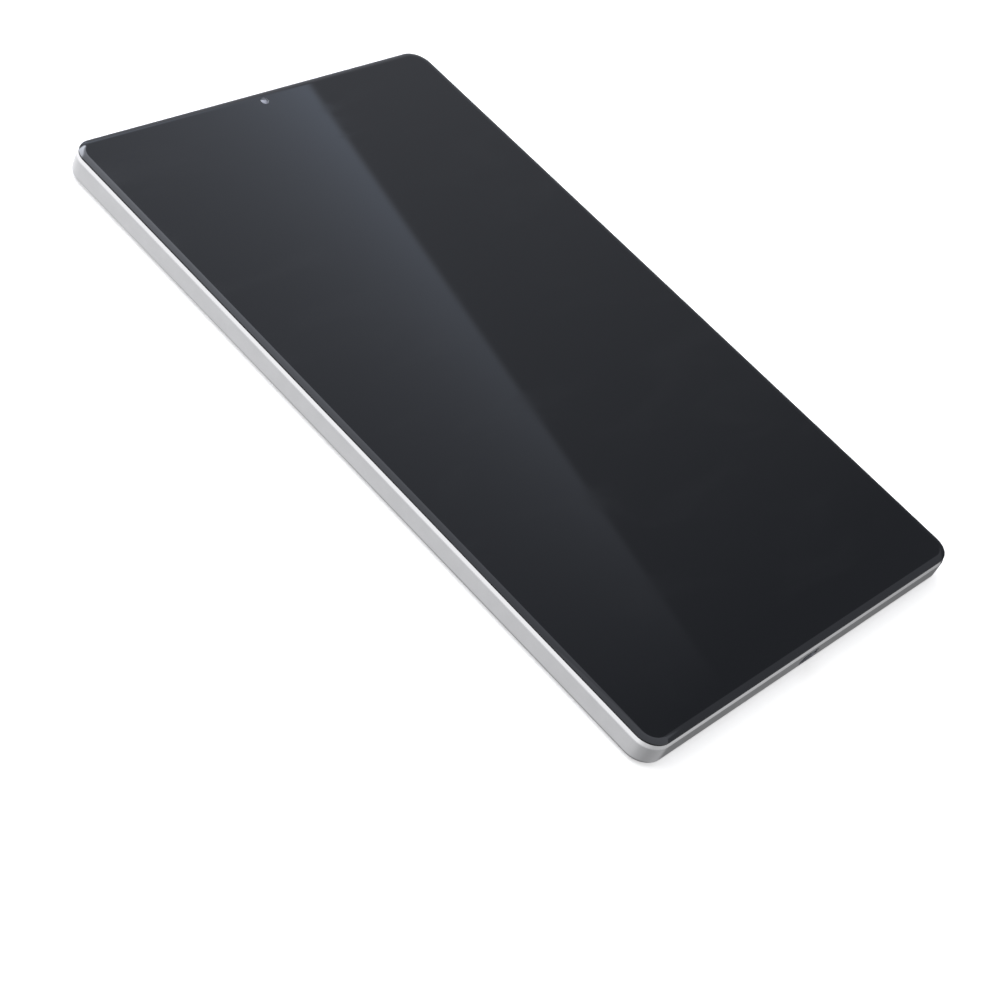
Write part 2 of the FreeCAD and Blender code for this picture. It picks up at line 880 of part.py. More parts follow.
def shield_can(x0, x1, y0, y1):
    """Thin metal lid, open towards the board."""
    low = board_bottom - can_height
    inner = block(x0 + can_wall, x1 - can_wall, y0 + can_wall, y1 - can_wall, low + can_wall, board_bottom)
    return block(x0, x1, y0, y1, low, board_bottom).cut(inner)


def upper_can_box():
    edge = 2 * (screw_head_radius + part_gap)
    return (board_left + 2 * part_gap, lead_centre - lead_width / 2 - 2 * part_gap,
            board_lower + 2 * part_gap, board_upper - edge - part_gap)


def strip_can_box():
    edge = 2 * (screw_head_radius + part_gap)
    return (strip_left + 2 * part_gap, board_right - 2 * edge,
            mic_y + mic_length, board_lower - edge - part_gap)


def upper_shield_can():
    return shield_can(*upper_can_box())


def strip_shield_can():
    return shield_can(*strip_can_box())


def chip(x0, y0, side):
    """Square package under the board, from its lowest corner."""
    return block(x0, x0 + side, y0, y0 + side, board_bottom - chip_height, board_bottom)


def processor_chip():
    x0, _, y0, y1 = upper_can_box()
    side = y1 - y0 - 2 * (can_wall + part_gap)
    return chip(x0 + can_wall + part_gap, y0 + can_wall + part_gap, side)


def memory_chip():
    x0, _, y0, y1 = upper_can_box()
    side = y1 - y0 - 2 * (can_wall + part_gap)
    return chip(x0 + side + 2 * (can_wall + part_gap), y0 + can_wall + part_gap, side)


def power_chip():
    x0, x1, y0, _ = strip_can_box()
    return chip(x0 + can_wall + part_gap, y0 + can_wall + part_gap, (x1 - x0) / 2)


def board_link_flex():
    """Flat cable between the two boards, over the lower battery cell."""
    half = flex_thickness / 2
    end_z = board_bottom - half
    low_z = (panel_thickness + sheet_thickness + battery_bottom) / 2
    upper_y = lower_cell_high + battery_gap / 2
    lower_y = lower_cell_low - battery_gap / 2
    x1 = sub_right - 2 * (screw_head_radius + part_gap)
    return strip_path(x1 - link_flex_width, x1, [
        (sub_inner_y - flex_landing, end_z), (lower_y, end_z), (lower_y, low_z),
        (upper_y, low_z), (upper_y, end_z), (strip_end + flex_landing, end_z)])


def display_flex():
    """Cable from the display cell's lower end, folded under the backlight and through the mid plate."""
    half = flex_thickness / 2
    x0 = display_flex_left
    fold_y = cell_low_y - backlight_margin - foam_width / 2
    under_z = plate_top + half
    slot_y = display_slot_y()
    end_z = board_bottom - half
    return strip_path(x0, x0 + display_flex_width, [
        (cell_low_y + half, cell_top + half), (fold_y, cell_top + half), (fold_y, under_z),
        (slot_y, under_z), (slot_y, end_z), (sub_inner_y - flex_landing, end_z)])


# ---- microphone ----
def microphone():
    right = board_right - part_gap
    return block(right - mic_depth, right, mic_y - mic_length / 2, mic_y + mic_length / 2,
                 board_bottom - mic_height, board_bottom)


def microphone_boot():
    """Rubber channel from the hole in the frame to the microphone."""
    left, right = board_right - part_gap, half_width - side_wall
    body = block(left, right, mic_y - boot_width / 2, mic_y + boot_width / 2,
                 mic_z - boot_height / 2, mic_z + boot_height / 2)
    return body.cut(rod_x(mic_hole_radius, left, right, mic_y, mic_z))


# ---- side keys ----
def key_cap(length, y, flange_gap):
    """Pill-shaped key with a flange behind the wall that keeps it in."""
    inner = half_width - side_wall - flange_gap
    outer = half_width + key_proud
    cap = pill_x(length, key_height, inner, outer, y, key_centre_z)
    cap = cap.makeFillet(key_edge_round, edges_on_plane(cap, "x", outer))
    flange = pill_x(length + 2 * key_flange_extra, key_height, inner - key_flange_thickness, inner,
                    y, key_centre_z)
    return cap, flange, inner - key_flange_thickness


def nub(y, x1):
    """Finger on a key's flange that presses a switch."""
    return block(half_width - nub_tip_inset, x1, y - nub_width / 2, y + nub_width / 2,
                 key_centre_z - nub_width / 2, key_centre_z + nub_width / 2)


def rocker_arm():
    """Distance from the rocker's pivot to each of its switches."""
    return rocker_length / 2 - rocker_nub_inset


def volume_rocker():
    cap, flange, back = key_cap(rocker_length, rocker_y, rocker_flange_gap)
    fulcrum = rod(fulcrum_radius, half_width - fulcrum_inset, rocker_y,
                  key_centre_z - key_height / 2, key_centre_z + key_height / 2)
    nubs = [nub(rocker_y + side * rocker_arm(), back) for side in (-1, 1)]
    return join([cap, flange, fulcrum] + nubs)


def power_button():
    cap, flange, back = key_cap(power_length, power_y, power_flange_gap)
    return join([cap, flange, nub(power_y, back)])


def switch(y):
    """Tactile switch: a base on the cable and a domed plunger."""
    face = half_width - switch_face_inset
    base = block(face - switch_thickness, face, y - switch_length / 2, y + switch_length / 2,
                 key_centre_z - switch_height / 2, key_centre_z + switch_height / 2)
    return join([base, rod_x(dome_radius, face, face + dome_height, y, key_centre_z)])


def volume_up_switch():
    return switch(rocker_y + rocker_arm())


def volume_down_switch():
    return switch(rocker_y - rocker_arm())


def power_switch():
    return switch(power_y)


def key_span():
    """Lowest and highest Y of the bracket behind the keys."""
    extra = key_flange_extra + bracket_foot
    return power_y - power_length / 2 - extra, rocker_y + rocker_length / 2 + extra


def side_key_flex():
    """Cable that carries the three switches, with a window for the rocker's post."""
    low, high = key_span()
    x1 = half_width - key_flex_inset
    strip = block(x1 - key_flex_thickness, x1, low, high, key_centre_z - key_height / 2,
                  key_centre_z + key_height / 2)
    half = post_width / 2 + post_gap
    window = block(x1 - key_flex_thickness, x1, rocker_y - half, rocker_y + half,
                   key_centre_z - half, key_centre_z + half)
    notches = []
    for y in foot_places():
        notches.append(block(x1 - key_flex_thickness, x1, y - bracket_foot / 2, y + bracket_foot / 2,
                             plate_bottom - bracket_thickness - key_gap, plate_bottom))
    return strip.cut([window] + notches)


def foot_places():
    """Y of the bracket's feet: one past each end of the keys and one between them."""
    low, high = key_span()
    middle = (power_y + power_length / 2 + rocker_y - rocker_length / 2) / 2
    return low + bracket_foot / 2, middle, high - bracket_foot / 2


def key_bracket():
    """Steel plate behind the switches, with feet to the wall and a post under the rocker's pivot."""
    low, high = key_span()
    x1 = half_width - bracket_inset
    plate = block(x1 - bracket_thickness, x1, low, high, plate_bottom - bracket_drop, plate_bottom)
    feet = []
    for y in foot_places():
        feet.append(block(x1, half_width - side_wall, y - bracket_foot / 2 + key_end_gap,
                          y + bracket_foot / 2 - key_end_gap, plate_bottom - bracket_thickness, plate_bottom))
    tip = half_width - fulcrum_inset - fulcrum_radius - fulcrum_gap
    post = block(x1, tip, rocker_y - post_width / 2, rocker_y + post_width / 2,
                 key_centre_z - post_width / 2, key_centre_z + post_width / 2)
    return join([plate, post] + feet)


# ---- card tray ----
def eject_hole(x0, x1, gap=0.0):
    return rod_x(eject_radius + gap, x0, x1, eject_y(), tray_z)


def card_tray():
    """Head flush with the frame's side and a carrier with a memory card and a SIM card pocket."""
    back = half_width - tray_head_depth
    head = pill_x(tray_head_length, tray_head_height, back, half_width, tray_y, tray_z)
    end = back - carrier_length
    half = carrier_width / 2
    carrier = block(end, back, tray_y - half, tray_y + half,
                    tray_z - carrier_thickness / 2, tray_z + carrier_thickness / 2)
    tray = join([head, carrier])
    pockets = []
    start = end + carrier_bar
    for length, width in (memory_pocket, sim_pocket):
        pockets.append(block(start, start + length, tray_y - width / 2, tray_y + width / 2,
                             tray_z - carrier_thickness, tray_z + carrier_thickness))
        start += length + carrier_bar
    return tray.cut(pockets + [eject_hole(back, half_width)])


def tray_seal():
    """Soft ring behind the tray's head."""
    front = half_width - tray_head_depth
    back = front - tray_seal_depth
    ring = pill_x(tray_head_length - 2 * tray_seal_inset, tray_head_height - 2 * tray_seal_inset,
                  back, front, tray_y, tray_z)
    half = carrier_width / 2
    core = block(back, front, tray_y - half, tray_y + half,
                 tray_z - carrier_thickness / 2, tray_z + carrier_thickness / 2)
    return ring.cut([core, eject_hole(back, front, eject_gap)])


def reader_limits():
    """Outer box of the card reader, under the main board."""
    x1 = half_width - side_wall - reader_start_gap
    x0 = half_width - tray_head_depth - carrier_length - reader_end_gap
    half = carrier_width / 2 + reader_side_gap
    return x0, x1, tray_y - half, tray_y + half, board_bottom - reader_height, board_bottom


def card_reader():
    """Folded steel shell, open to the outside."""
    x0, x1, y0, y1, z0, z1 = reader_limits()
    wall = reader_wall
    inner = block(x0 + wall, x1, y0 + wall, y1 - wall, z0 + wall, z1 - wall)
    return block(x0, x1, y0, y1, z0, z1).cut(inner)


def reader_base():
    """Plastic bed with the card contacts, inside the reader's shell."""
    x0, x1, y0, y1, _, z1 = reader_limits()
    roof = z1 - reader_wall
    return block(x0 + reader_wall, x1 - reader_side_gap, y0 + reader_wall, y1 - reader_wall,
                 roof - reader_base_thickness, roof)


# ---- USB-C receptacle ----
def usb_shell():
    """Steel shell with a pill-shaped mouth and four soldering tabs on the lower board."""
    outer = pill_y(usb_width, usb_height, usb_mouth_y, usb_back_y, 0, usb_centre_z)
    reach = usb_width / 2 + usb_gap + usb_tab_reach
    tabs = []
    for low in (sub_outer_y + usb_tab_inset, usb_back_y - usb_tab_inset - usb_tab_width):
        tabs.append(block(-reach, reach, low, low + usb_tab_width,
                          board_bottom - usb_tab_thickness, board_bottom))
    shell = join([outer] + tabs)
    return shell.cut(pill_y(usb_open_width, usb_open_height, usb_mouth_y, usb_back_y, 0, usb_centre_z))


def usb_tongue():
    """Plastic body that fills the shell's rear, with the tongue in its middle."""
    front = usb_back_y - usb_base_depth
    base = pill_y(usb_open_width, usb_open_height, front, usb_back_y, 0, usb_centre_z)
    half, rise = tongue_width / 2, tongue_thickness / 2
    tongue = block(-half, half, front - tongue_length, front, usb_centre_z - rise, usb_centre_z + rise)
    return join([base, tongue])


def usb_contacts():
    """Gold strips on both faces of the tongue."""
    front = usb_back_y - usb_base_depth
    strips = []
    for step in range(contact_count):
        x = (step - (contact_count - 1) / 2) * contact_pitch
        for low in (usb_centre_z + tongue_thickness / 2,
                    usb_centre_z - tongue_thickness / 2 - contact_thickness):
            strips.append(block(x - contact_width / 2, x + contact_width / 2, front - contact_length, front,
                                low, low + contact_thickness))
    return Part.Compound(strips)


# ---- speakers ----
def speaker_box(middle):
    """Sealed box with a port towards the frame's holes and a round cone in its rear face."""
    front = half_length - side_wall - speaker_front_gap
    low, high = flange_top + speaker_rear_gap, plate_bottom
    body = block(middle - speaker_length / 2, middle + speaker_length / 2,
                 front - speaker_depth, front, low, high)
    port = block(middle - speaker_port_length / 2, middle + speaker_port_length / 2,
                 front - speaker_port_depth, front, speaker_hole_z - speaker_port_height / 2,
                 speaker_hole_z + speaker_port_height / 2)
    cone = rod(cone_radius, middle, front - speaker_depth / 2, low, low + cone_depth)
    return body.cut([port, cone])


def speaker_mesh(middle):
    """Dust mesh between the frame's holes and the speaker."""
    wall = half_length - side_wall
    return block(middle - mesh_length / 2, middle + mesh_length / 2, wall - mesh_thickness, wall,
                 speaker_hole_z - mesh_height / 2, speaker_hole_z + mesh_height / 2)


NODES = {
    "side_frame": side_frame, "cover_glass": cover_glass, "glass_gasket": glass_gasket,
    "optical_adhesive": optical_adhesive, "lcd_cell": lcd_cell, "backlight_unit": backlight_unit,
    "display_foam": display_foam, "display_flex": display_flex, "mid_plate": mid_plate,
    "plate_screws": plate_screws, "rear_panel": rear_panel, "rear_gasket": rear_gasket,
    "graphite_sheet": graphite_sheet, "upper_antenna": upper_antenna, "lower_antenna": lower_antenna,
    "camera_trim": camera_trim, "camera_window": camera_window, "camera_ring": camera_ring,
    "flash_ring": flash_ring, "camera_lens_cover": camera_lens_cover, "flash_lens": flash_lens,
    "rear_camera_module": rear_camera_module, "flash_led": flash_led, "front_camera": front_camera,
    "battery_cell_upper": battery_cell_upper, "battery_cell_lower": battery_cell_lower,
    "battery_tape": battery_tape, "battery_board": battery_board, "battery_lead": battery_lead,
    "main_board": main_board, "sub_board": sub_board, "board_screws": board_screws,
    "upper_shield_can": upper_shield_can, "strip_shield_can": strip_shield_can,
    "processor_chip": processor_chip, "memory_chip": memory_chip, "power_chip": power_chip,
    "board_link_flex": board_link_flex, "microphone": microphone, "microphone_boot": microphone_boot,
    "volume_rocker": volume_rocker, "power_button": power_button, "volume_up_switch": volume_up_switch,
    "volume_down_switch": volume_down_switch, "power_switch": power_switch,
    "side_key_flex": side_key_flex, "key_bracket": key_bracket, "card_tray": card_tray,
    "tray_seal": tray_seal, "card_reader": card_reader, "reader_base": reader_base,
    "usb_shell": usb_shell, "usb_tongue": usb_tongue, "usb_contacts": usb_contacts,
}


def main():
    os.makedirs("parts", exist_ok=True)
    shapes = {name: make() for name, make in NODES.items()}
    for side, middle in zip(("left", "right"), speaker_centres()):
        shapes[f"speaker_{side}"] = speaker_box(middle)
        shapes[f"speaker_mesh_{side}"] = speaker_mesh(middle)
    for name, shape in shapes.items():
        shape.exportStep(f"parts/{name}.step")
        print(f"{name:22s} {shape.Volume:10.2f} mm3  solids {len(shape.Solids)}  valid {shape.isValid()}")


main()
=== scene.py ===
# %% [markdown]
# # A ten-inch tablet computer
# The tablet is a satin silver frame with a black glass front and a glossy white back. The frame, the keys, the
# card tray and everything inside are exact solids already, so this lesson loads them, gives each one a finish,
# and makes new surfaces only where a finer shape shows: the curved glass, the small front camera under it, and
# the lenses behind the rear camera window.

# %% Load the solid model
import json
import math

import bpy
import numpy as np
from mathutils import Matrix, Vector


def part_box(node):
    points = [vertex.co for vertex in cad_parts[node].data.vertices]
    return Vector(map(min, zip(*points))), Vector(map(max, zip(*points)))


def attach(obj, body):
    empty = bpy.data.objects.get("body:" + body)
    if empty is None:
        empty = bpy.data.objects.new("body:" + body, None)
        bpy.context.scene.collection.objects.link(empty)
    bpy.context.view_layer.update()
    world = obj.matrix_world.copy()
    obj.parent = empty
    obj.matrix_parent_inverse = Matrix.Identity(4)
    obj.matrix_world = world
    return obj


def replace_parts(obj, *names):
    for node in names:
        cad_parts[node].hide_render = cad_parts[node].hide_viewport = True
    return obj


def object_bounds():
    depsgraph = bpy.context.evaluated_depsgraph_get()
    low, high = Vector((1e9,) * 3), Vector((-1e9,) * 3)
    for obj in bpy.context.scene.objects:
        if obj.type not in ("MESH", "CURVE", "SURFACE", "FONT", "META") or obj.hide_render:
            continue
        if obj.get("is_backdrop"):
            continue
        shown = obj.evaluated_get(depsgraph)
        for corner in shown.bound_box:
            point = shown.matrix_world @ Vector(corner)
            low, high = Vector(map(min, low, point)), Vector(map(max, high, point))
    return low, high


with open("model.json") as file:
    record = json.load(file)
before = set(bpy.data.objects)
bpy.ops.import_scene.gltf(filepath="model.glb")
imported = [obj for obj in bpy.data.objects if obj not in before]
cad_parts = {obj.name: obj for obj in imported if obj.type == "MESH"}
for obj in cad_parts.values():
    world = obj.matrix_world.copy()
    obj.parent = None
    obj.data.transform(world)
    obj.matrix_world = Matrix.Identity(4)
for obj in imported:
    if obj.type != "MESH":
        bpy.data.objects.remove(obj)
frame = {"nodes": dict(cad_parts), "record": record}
cad_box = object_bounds()
nodes = frame["nodes"]
MM = 0.001
print(len(nodes), "pieces, box in mm:", [round(s / MM, 2) for s in cad_box[1] - cad_box[0]])

# %% [markdown]
# ## Where the camera stands
# A flat slab shows best through a long lens from well above one corner, where both near sides appear as slim
# bands. The camera could be pushed into place by hand. Here it is placed by what it aims at, how far off it is,
# its compass direction and height, and how much it is rolled about its own axis, so that each can be changed
# alone. Direction 0 looks along +Y.

# %% Camera
AIM = Vector((-50.33, -40.70, 8.78)) * MM
DISTANCE = 595.2 * MM
DIRECTION, HEIGHT, ROLL = math.radians(-65.24), math.radians(41.40), math.radians(28.61)
FOCAL_LENGTH, SENSOR_WIDTH = 78.2, 36.0
NEAREST_SEEN = 10 * MM

level_share = math.cos(HEIGHT)
back = Vector((math.sin(DIRECTION) * level_share, -math.cos(DIRECTION) * level_share, math.sin(HEIGHT)))
aimed = back.to_track_quat("Z", "Y").to_matrix() @ Matrix.Rotation(ROLL, 3, "Z")
camera_data = bpy.data.cameras.new("camera")
camera_data.lens = FOCAL_LENGTH
camera_data.sensor_width = SENSOR_WIDTH
camera_data.clip_start = NEAREST_SEEN
camera = bpy.data.objects.new("camera", camera_data)
bpy.context.scene.collection.objects.link(camera)
camera.matrix_world = Matrix.Translation(AIM + DISTANCE * back) @ aimed.to_4x4()
bpy.context.scene.camera = camera
bpy.context.scene.view_settings.view_transform = "Standard"
print("camera at", [round(c, 3) for c in camera.matrix_world.translation])

# %% [markdown]
# ## Wiring nodes
# Every material and the studio itself are small node trees. They could be drawn in the shader editor, but a tree
# made in code can be built again with other values. One helper adds a node, sets its options, and fills its
# inputs with plain values or with another node's output, so that each tree reads like a recipe.


# %% Node helper
def add(tree, kind, inputs=None, **options):
    """Adds a node. inputs maps a socket's name or number to a value or to an output socket."""
    made = tree.nodes.new(kind)
    for key, value in options.items():
        setattr(made, key, value)
    for key, value in (inputs or {}).items():
        if isinstance(value, bpy.types.NodeSocket):
            tree.links.new(value, made.inputs[key])
        else:
            made.inputs[key].default_value = value
    return made


def math_node(tree, operation, a, b=0.0, c=0.0, clamp=False):
    """One sum: a operation b, and c where the operation takes a third number."""
    return add(tree, "ShaderNodeMath", {0: a, 1: b, 2: c}, operation=operation, use_clamp=clamp).outputs[0]


def along(tree, vector, axis):
    """How far a vector reaches along an axis: their dot product."""
    return add(tree, "ShaderNodeVectorMath", {0: vector, 1: axis}, operation="DOT_PRODUCT").outputs["Value"]


def ramp_between(tree, value, low, high, start=0.0, end=1.0):
    """Goes smoothly from start to end while the value goes from low to high."""
    inputs = {"Value": value, "From Min": low, "From Max": high, "To Min": start, "To Max": end}
    return add(tree, "ShaderNodeMapRange", inputs, interpolation_type="SMOOTHSTEP").outputs["Result"]


def mix_value(tree, factor, a, b):
    """Blends two numbers."""
    return add(tree, "ShaderNodeMix", {0: factor, 2: a, 3: b}, data_type="FLOAT").outputs[0]


def mix_colour(tree, factor, a, b, blend="MIX"):
    """Blends two colours."""
    return add(tree, "ShaderNodeMix", {0: factor, 6: a, 7: b}, data_type="RGBA", blend_type=blend).outputs[2]


# %% [markdown]
# ## The studio
# Polished glass and metal show the room more than their own colour, so the room is the most important material.
# A picture of a real room would do, but brightness worked out from direction can be tuned edge by edge. Above
# the table the light grows towards the far end, and a large card with one straight, sharp edge glows there. Two
# softboxes hang overhead, each with a straight edge that runs along one side of the tablet, so that the flat
# glass mirrors neither but the curved rim catches them from where its curve begins. The light near the floor
# changes round the compass. The camera itself sees plain white.

# %% Studio measures
# The sky's brightness is its growth times the direction's Y, plus a shift, kept between two limits.
SKY_GROWTH, SKY_SHIFT, SKY_LEAST, SKY_MOST = 1.16, -0.04, 0.18, 0.8
# The card and the softboxes each end at a plane through the tablet, given by its normal.
CARD_NORMAL, CARD_SOFTNESS, CARD_FADE = (0.7001, -0.1754, -0.6922), 0.002, 0.04
CARD_START, CARD_GROWTH = 0.185, 2.4
LONG_BOX, SHORT_BOX = (-0.72, 0.0, 0.694), (0.0, -0.968, 0.252)
BOX_SOFTNESS, BOX_RISE = 0.01, (0.48, 0.56)
# Along Y, from and to, and the glow at each: the long softbox, and the lamp that shows through its far end.
LONG_BOX_GLOW, LAMP_GLOW, SHORT_BOX_GLOW = (0.15, 0.75, 0.7, 2.6), (0.58, 0.66, 0.0, 6.0), 0.32
# Share of a turn from +X, and the brightness there near the floor.
LOW_RING = ((0.00, 0.20), (0.08, 0.24), (0.13, 0.60), (0.18, 1.10), (0.34, 0.80), (0.42, 0.72), (0.50, 0.68),
            (0.62, 0.45), (0.70, 0.36), (0.84, 0.42), (0.89, 0.46), (0.95, 0.13))
# Along Z, from and to, and the factor at each: brighter towards the horizon, dimmer straight down.
HORIZON_GAIN, NADIR_LOSS = (-0.66, 0.0, 2.0, 2.8), (-0.95, -0.70, 0.40, 1.0)
HORIZON = (-0.08, 0.12)
SKY_TINT, CARD_TINT, FLOOR_TINT = (0.95, 0.99, 1.10, 1), (0.86, 1.0, 1.26, 1), (0.985, 0.99, 1.01, 1)
PLAIN_WHITE = (1, 1, 1, 1)

# %% Sky and card
world = bpy.data.worlds.new("studio")
bpy.context.scene.world = world
world.use_nodes = True
tree = world.node_tree
tree.nodes.clear()
way = add(tree, "ShaderNodeTexCoord").outputs["Generated"]
parts = add(tree, "ShaderNodeSeparateXYZ", {0: way}).outputs
sky = math_node(tree, "MULTIPLY_ADD", parts["Y"], SKY_GROWTH, SKY_SHIFT)
sky = math_node(tree, "MINIMUM", math_node(tree, "MAXIMUM", sky, SKY_LEAST), SKY_MOST)

beside = along(tree, way, CARD_NORMAL)
on_card = ramp_between(tree, beside, -CARD_SOFTNESS, CARD_SOFTNESS, 1.0, 0.0)
fade = math_node(tree, "EXPONENT", math_node(tree, "DIVIDE", math_node(tree, "MINIMUM", beside, 0.0), CARD_FADE))
card = math_node(tree, "MULTIPLY", math_node(tree, "SUBTRACT", parts["Y"], CARD_START), CARD_GROWTH)
card = math_node(tree, "MULTIPLY", math_node(tree, "MAXIMUM", card, 0.0), fade)
card = math_node(tree, "MULTIPLY", card, on_card)
sky = math_node(tree, "ADD", sky, card)
print("sky and card have", len(tree.nodes), "nodes")

# %% Softboxes
box_height = ramp_between(tree, parts["Z"], *BOX_RISE)
long_glow = math_node(tree, "ADD", ramp_between(tree, parts["Y"], *LONG_BOX_GLOW),
                      ramp_between(tree, parts["Y"], *LAMP_GLOW))
for normal, glow in ((LONG_BOX, long_glow), (SHORT_BOX, SHORT_BOX_GLOW)):
    beyond = ramp_between(tree, along(tree, way, normal), 0.0, BOX_SOFTNESS)
    on_box = math_node(tree, "MULTIPLY", beyond, box_height)
    sky = math_node(tree, "ADD", sky, math_node(tree, "MULTIPLY", on_box, glow))
print("with softboxes", len(tree.nodes), "nodes")

# %% Light near the floor
turn = math_node(tree, "DIVIDE", math_node(tree, "ARCTAN2", parts["Y"], parts["X"]), 2 * math.pi)
ring = add(tree, "ShaderNodeValToRGB", {"Fac": math_node(tree, "FRACT", math_node(tree, "ADD", turn, 1.0))})
ring.color_ramp.interpolation = "EASE"
stops = ring.color_ramp.elements
for place, brightness in LOW_RING[1:-1]:
    stops.new(place)
# A stop's colour ends at 1, so it holds half the brightness, and the gain starts at 2.
for stop, (place, brightness) in zip(stops, LOW_RING):
    stop.position = place
    stop.color = (brightness / 2, brightness / 2, brightness / 2, 1)
gain = math_node(tree, "MULTIPLY", ramp_between(tree, parts["Z"], *HORIZON_GAIN),
                 ramp_between(tree, parts["Z"], *NADIR_LOSS))
floor_light = math_node(tree, "MULTIPLY", ring.outputs["Color"], gain)
print("ring has", len(stops), "stops")

# %% What each kind of ray sees
above = ramp_between(tree, parts["Z"], *HORIZON)
upper_tint = mix_colour(tree, math_node(tree, "MINIMUM", card, 1.0), SKY_TINT, CARD_TINT)
tint = mix_colour(tree, above, FLOOR_TINT, upper_tint)
room = mix_colour(tree, 1.0, tint, mix_value(tree, above, floor_light, sky), "MULTIPLY")
path = add(tree, "ShaderNodeLightPath").outputs
for kind in ("Is Diffuse Ray", "Is Camera Ray"):
    room = mix_colour(tree, path[kind], room, PLAIN_WHITE)
shade = add(tree, "ShaderNodeBackground", {"Color": room, "Strength": 1.0})
tree.links.new(shade.outputs[0], add(tree, "ShaderNodeOutputWorld").inputs[0])
print("studio has", len(tree.nodes), "nodes")

# %% [markdown]
# ## The table
# The tablet lies on a pale table lit from beneath, which gives a pure white ground. A white material alone would
# turn grey in the slab's shadow, so the sheet glows a little and is lit from above as well, and only a faint
# shadow is left. Polished faces don't mirror the sheet: they show the studio round it. From beneath, the sheet
# is clear, so that the tablet's back can be seen.

# %% Table
TABLE_REACH = 3.0
TABLE_COLOUR, TABLE_ROUGHNESS, TABLE_GLOW = (0.86, 0.86, 0.86, 1), 0.9, 0.25

corners = [(x * TABLE_REACH, y * TABLE_REACH, cad_box[0].z) for x, y in ((-1, -1), (1, -1), (1, 1), (-1, 1))]
ground = bpy.data.meshes.new("table")
ground.from_pydata(corners, [], [(0, 1, 2, 3)])
table = bpy.data.objects.new("table", ground)
bpy.context.scene.collection.objects.link(table)
table.visible_glossy = False
table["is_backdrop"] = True

sheet = bpy.data.materials.new("table sheet")
sheet.use_nodes = True
tree = sheet.node_tree
opaque = tree.nodes["Principled BSDF"]
for label, value in (("Base Color", TABLE_COLOUR), ("Roughness", TABLE_ROUGHNESS), ("Specular IOR Level", 0.0),
                     ("Emission Color", PLAIN_WHITE), ("Emission Strength", TABLE_GLOW)):
    opaque.inputs[label].default_value = value
clear = add(tree, "ShaderNodeBsdfTransparent")
beneath = add(tree, "ShaderNodeNewGeometry").outputs["Backfacing"]
shown = add(tree, "ShaderNodeMixShader", {0: beneath, 1: opaque.outputs[0], 2: clear.outputs[0]})
tree.links.new(shown.outputs[0], tree.nodes["Material Output"].inputs[0])
ground.materials.append(sheet)
print("table at z", round(cad_box[0].z / MM, 2), "mm")

# %% Key light
KEY_PLACE, KEY_SIZE, KEY_POWER = Vector((-0.7, 0.5, 1.1)), 0.8, 4.0

key_data = bpy.data.lights.new("key", "AREA")
key_data.energy = KEY_POWER
key_data.size = KEY_SIZE
key = bpy.data.objects.new("key", key_data)
bpy.context.scene.collection.objects.link(key)
key.visible_glossy = False
key.matrix_world = Matrix.Translation(KEY_PLACE) @ KEY_PLACE.to_track_quat("Z", "Y").to_matrix().to_4x4()
print("key light", round(KEY_PLACE.length, 2), "m away")

# %% [markdown]
# ## Shared surface effects
# A few effects come back on many finishes, so each is a node group built once: the fine grain of blasting,
# moulding or casting, the faint smears of handling, a band between two distances, rings turned on a lathe, a
# weave, and printed tracks. Each could be copied into every material, but then a change has to be made many
# times. A group reads the object's own coordinates and puts out only masks, heights and distances.


# %% Group builder
def group(name, inputs, outputs):
    """Empty node group with named number inputs and outputs. Gives the tree and its two ends."""
    made = bpy.data.node_groups.new(name, "ShaderNodeTree")
    for label, value in inputs.items():
        made.interface.new_socket(label, in_out="INPUT", socket_type="NodeSocketFloat").default_value = value
    for label in outputs:
        made.interface.new_socket(label, in_out="OUTPUT", socket_type="NodeSocketFloat")
    return made, made.nodes.new("NodeGroupInput").outputs, made.nodes.new("NodeGroupOutput").inputs


def place_in(tree, scale=None):
    """Object coordinates, divided by a size when one is given."""
    coordinates = add(tree, "ShaderNodeTexCoord").outputs["Object"]
    if scale is None:
        return coordinates
    inverse = math_node(tree, "DIVIDE", 1.0, scale)
    return add(tree, "ShaderNodeVectorMath", {0: coordinates, "Scale": inverse}, operation="SCALE").outputs[0]


# %% Grain and smears
tree, given, out = group("surface grain", {"Size": 0.0002}, ["Height", "Tone"])
place = place_in(tree, given["Size"])
fine = add(tree, "ShaderNodeTexNoise", {"Vector": place, "Scale": 1.0, "Detail": 3.0, "Roughness": 0.6})
broad = add(tree, "ShaderNodeTexNoise", {"Vector": place, "Scale": 0.02, "Detail": 4.0}).outputs["Fac"]
tree.links.new(fine.outputs["Fac"], out["Height"])
tree.links.new(ramp_between(tree, broad, 0.3, 0.7), out["Tone"])
GRAIN = tree

tree, given, out = group("handling smears", {"Size": 0.03}, ["Mask"])
place = place_in(tree, given["Size"])
stroke = add(tree, "ShaderNodeMapping", {"Vector": place, "Rotation": (0.0, 0.0, 0.7), "Scale": (1.0, 2.6, 1.0)})
cloud = add(tree, "ShaderNodeTexNoise", {"Vector": stroke.outputs[0], "Scale": 1.0, "Detail": 5.0,
                                         "Distortion": 0.6})
tree.links.new(ramp_between(tree, cloud.outputs[0], 0.50, 0.75), out["Mask"])
SMEARS = tree
print("groups:", [g.name for g in bpy.data.node_groups])

